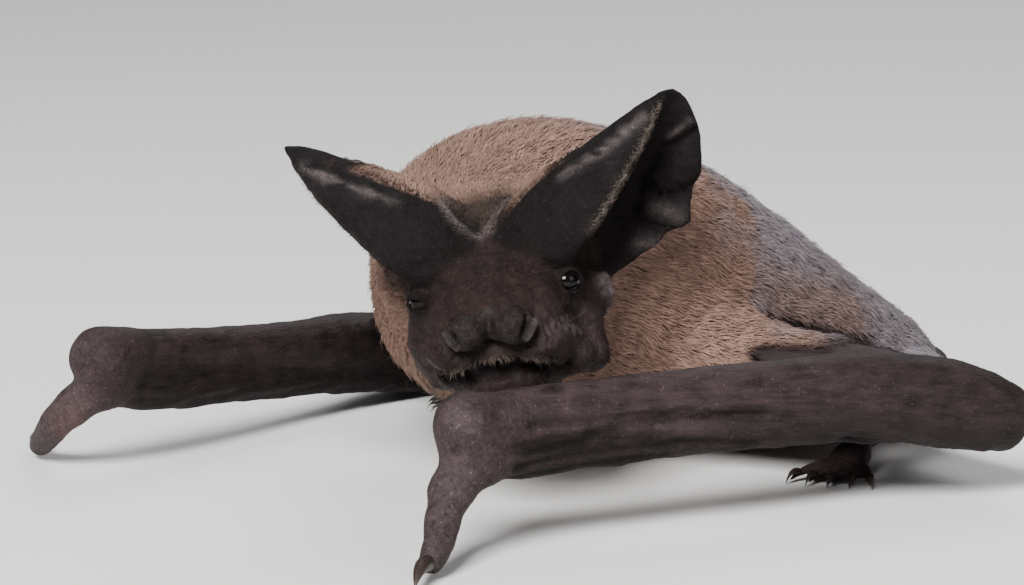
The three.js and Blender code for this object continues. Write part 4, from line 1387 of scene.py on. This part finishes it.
def toe_claws(side):
    """The five claws of one foot, in one piece."""
    sign = 1 if side == "left" else -1
    claws = []
    for toe in range(TOES):
        heading = FOOT_HEADING + TOE_SPREAD * (2 * toe / (TOES - 1) - 1)
        path = []
        for length, height in TOE_CLAW:
            x = HEEL[0] + length * math.cos(heading)
            path.append((sign * x, HEEL[1] + length * math.sin(heading), height))
        claws.append(claw(f"toe_claws_{side}", path, TOE_CLAW_RADIUS))
    return joined(claws)


# ---- The stage ----
CAMERA_AT = (0.2051, -0.2263, 0.0566)
CAMERA_AIM = (-0.7123, 0.6879, -0.1392)  # a direction
CAMERA_LENS = 110.1
FLOOR_SIZE = 6.0
FLOOR_COLOUR = (0.88, 0.87, 0.85, 1)
STUDIO_AIR = (0.75, 0.77, 0.8, 1)  # the colour of the light from all round
AIR_STRENGTH = 0.18
# Each light's place, aim, size and power.
LIGHTS = {
    "key_light": ((0.42, -0.80, 0.66), (0.01, -0.03, 0.015), 0.4, 27.0),
    "fill_light": ((1.5, 0.1, 0.8), (0.01, 0, 0.015), 1.0, 9.0),
    "rim_light": ((-0.9, 1.3, 1.4), (0, 0, 0.02), 1.0, 16.0),
}


def area_light(name, place, aim, size, power):
    """A soft square light that faces a point."""
    bpy.ops.object.light_add(type="AREA", location=place)
    light = bpy.context.object
    light.name = name
    light.data.size = size
    light.data.energy = power
    light.rotation_euler = (Vector(aim) - Vector(place)).to_track_quat("-Z", "Y").to_euler()


def pale_floor():
    """A plain matte floor."""
    bpy.ops.object.select_all(action="DESELECT")
    bpy.ops.mesh.primitive_plane_add(size=FLOOR_SIZE, location=(0, 0, 0))
    floor = bpy.context.object
    floor.name = "floor"
    material = bpy.data.materials.new("pale_floor")
    material.use_nodes = True
    shader = material.node_tree.nodes["Principled BSDF"]
    shader.inputs["Base Color"].default_value = FLOOR_COLOUR
    shader.inputs["Roughness"].default_value = 0.85
    floor.data.materials.append(material)


def view_camera():
    """The camera, from the bat's left front and a little above it."""
    bpy.ops.object.camera_add(location=CAMERA_AT)
    camera = bpy.context.object
    camera.rotation_euler = Vector(CAMERA_AIM).to_track_quat("-Z", "Y").to_euler()
    camera.data.lens = CAMERA_LENS
    camera.data.sensor_width = 36.0
    camera.data.clip_start = 0.01
    bpy.context.scene.camera = camera


# ---- The add-on ----
def length_property(name, description, default):
    """A length that the panel shows."""
    return bpy.props.FloatProperty(
        name=name, description=description, subtype="DISTANCE", unit="LENGTH", min=0, default=default
    )


def amount_property(name, description, default, most):
    """A number from 0 to its most, that the panel shows."""
    return bpy.props.FloatProperty(name=name, description=description, default=default, min=0, max=most)


def colour_property(name, description, default):
    """A colour that the panel shows."""
    return bpy.props.FloatVectorProperty(
        name=name, description=description, subtype="COLOR", size=3, min=0, max=1, default=default
    )


class BatSizes(bpy.types.PropertyGroup):
    """Sizes of the coat"""

    tuft_length: length_property("Tuft length", "Length of the body's tufts", 0.0019)
    tuft_width: length_property("Tuft width", "Width of a tuft", 0.00011)
    tufts_per_mm2: amount_property("Tufts", "Tufts on each square millimetre of the body", 36.0, 60)
    tuft_rise: amount_property("Tuft rise", "How far a tuft stands up, as a share of its length", 0.4, 1)
    root_shade: amount_property("Root shade", "The roots' colour as a share of the skin's", 0.84, 1)
    line_hairs_per_mm2: amount_property("Edge hairs", "Hairs on each square millimetre of a keel", 85.0, 200)


class BatLooks(bpy.types.PropertyGroup):
    """Colours of the skin and the coat"""

    cinnamon: colour_property("Cinnamon", "Coat of the shoulders, neck and crown", (0.235, 0.145, 0.113))
    mauve_grey: colour_property("Mauve grey", "Bloom on the back", (0.22, 0.19, 0.208))
    # Also painted shade on the down-facing coat low on the body.
    belly_brown: colour_property("Belly brown", "Coat of the underside", (0.17, 0.115, 0.09))
    dark_tuft: colour_property("Dark tuft", "Hair of the forehead between the ears", (0.024, 0.018, 0.015))
    pale_hair: colour_property("Pale hair", "Hair on the backs and edges of the ears", (0.36, 0.29, 0.24))
    pink_skin: colour_property("Pink skin", "Skin at the root of a thumb", (0.17, 0.085, 0.08))
    # Pale skin of the keels, folds and thumbs, and also the colour of the painted highlights on the ears'
    # edges and lobes, the left cheek and the wrists' knobs.
    pale_skin: colour_property("Pale skin", "Worn or raised bare skin", (0.12, 0.095, 0.095))
    face_skin: colour_property("Face skin", "Skin of the muzzle and cheeks", (0.0165, 0.0100, 0.0092))
    nose_skin: colour_property("Nose skin", "Skin of the nose pads", (0.0145, 0.0107, 0.0095))
    ear_skin: colour_property("Ear skin", "Skin of the ears", (0.0075, 0.0058, 0.006))
    arm_skin: colour_property("Arm skin", "Skin of the arms, legs and tail", (0.0325, 0.0218, 0.0218))
    web_skin: colour_property("Web skin", "Skin of the wings", (0.024, 0.0165, 0.0165))


class BAT_OT_skin(bpy.types.Operator):
    """Joins the flesh into one skin and carves its folds"""

    bl_idname = "bat.skin"
    bl_label = "Skin"

    def execute(self, context):
        looks = context.scene.bat_looks
        skin, flesh = carved_skin()
        tint = markings(flesh, looks)
        store(skin.data, "tint", "FLOAT_COLOR", np.c_[tint, np.ones(len(tint))])
        store(skin.data, "grain", "FLOAT_VECTOR", grain(flesh))
        store(skin.data, "bare", "FLOAT", 1 - furriness(flesh))
        store(skin.data, "matte", "FLOAT", matte_skin(flesh))
        skin.data.materials.append(skin_finish())
        finished(skin, "face_skin", *FLESH)
        unwrap = unwrapped(skin)
        WORK.update(flesh=flesh, tint=tint, faces=triangles_of(skin.data), unwrap=unwrap)
        return {"FINISHED"}


class BAT_OT_coat(bpy.types.Operator):
    """Grows the short tufts of the coat and the fine hairs of the bare skin"""

    bl_idname = "bat.coat"
    bl_label = "Coat"

    def execute(self, context):
        if "flesh" not in WORK:
            raise RuntimeError("The coat grows from the skin: make the skin first")
        sizes, looks = context.scene.bat_sizes, context.scene.bat_looks
        finish = coat_finish()
        pieces = grown_coat(WORK, sizes) + grown_hairs(WORK, sizes, looks) + grown_whiskers(WORK, looks)
        for piece in pieces:
            piece.data.materials.append(finish)
            finished(piece, "fur")
        return {"FINISHED"}


class BAT_OT_eyes(bpy.types.Operator):
    """Makes the two wet black eyes"""

    bl_idname = "bat.eyes"
    bl_label = "Eyes"

    def execute(self, context):
        finish = eye_finish()
        for side, node in ((1, "eye_left"), (-1, "eye_right")):
            eye = eyeball(side)
            eye.data.materials.append(finish)
            finished(eye, "eye", node)
        return {"FINISHED"}


class BAT_OT_claws(bpy.types.Operator):
    """Makes the hooked claws of the thumbs and the toes"""

    bl_idname = "bat.claws"
    bl_label = "Claws"

    def execute(self, context):
        finish = claw_finish()
        for side, path in THUMB_CLAWS.items():
            hook = claw(f"thumb_hook_{side}", path, THUMB_CLAW_RADIUS)
            hook.data.materials.append(finish)
            finished(hook, "claw", f"thumb_claw_{side}")
            toes = toe_claws(side)
            toes.data.materials.append(finish)
            finished(toes, "claw")
        return {"FINISHED"}


class BAT_OT_stage(bpy.types.Operator):
    """Sets a pale floor, soft lights and the camera"""

    bl_idname = "bat.stage"
    bl_label = "Stage"

    def execute(self, context):
        pale_floor()
        for name, settings in LIGHTS.items():
            area_light(name, *settings)
        world = bpy.data.worlds.new("studio")
        context.scene.world = world
        world.use_nodes = True
        air = world.node_tree.nodes["Background"]
        air.inputs["Color"].default_value = STUDIO_AIR
        air.inputs["Strength"].default_value = AIR_STRENGTH
        view_camera()
        return {"FINISHED"}


MAKING_ORDER = (BAT_OT_skin, BAT_OT_coat, BAT_OT_eyes, BAT_OT_claws, BAT_OT_stage)


class BAT_PT_maker(bpy.types.Panel):
    """Lists the bat's sizes, colours and pieces"""

    bl_idname = "BAT_PT_maker"
    bl_label = "Bat"
    bl_space_type = "VIEW_3D"
    bl_region_type = "UI"
    bl_category = "Bat"

    def draw(self, context):
        for group in (context.scene.bat_sizes, context.scene.bat_looks):
            box = self.layout.box()
            for key in group.bl_rna.properties.keys():
                if key not in ("rna_type", "name"):
                    box.prop(group, key)
        for operator in MAKING_ORDER:
            self.layout.operator(operator.bl_idname)


CLASSES = (BatSizes, BatLooks, *MAKING_ORDER, BAT_PT_maker)


def register():
    for kind in CLASSES:
        bpy.utils.register_class(kind)
    bpy.types.Scene.bat_sizes = bpy.props.PointerProperty(type=BatSizes)
    bpy.types.Scene.bat_looks = bpy.props.PointerProperty(type=BatLooks)


def unregister():
    del bpy.types.Scene.bat_looks
    del bpy.types.Scene.bat_sizes
    for kind in reversed(CLASSES):
        bpy.utils.unregister_class(kind)


def main():
    """Builds the bat and its stage."""
    register()
    bpy.ops.bat.skin()
    bpy.ops.bat.coat()
    bpy.ops.bat.eyes()
    bpy.ops.bat.claws()
    bpy.ops.bat.stage()


if __name__ == "__main__":
    main()
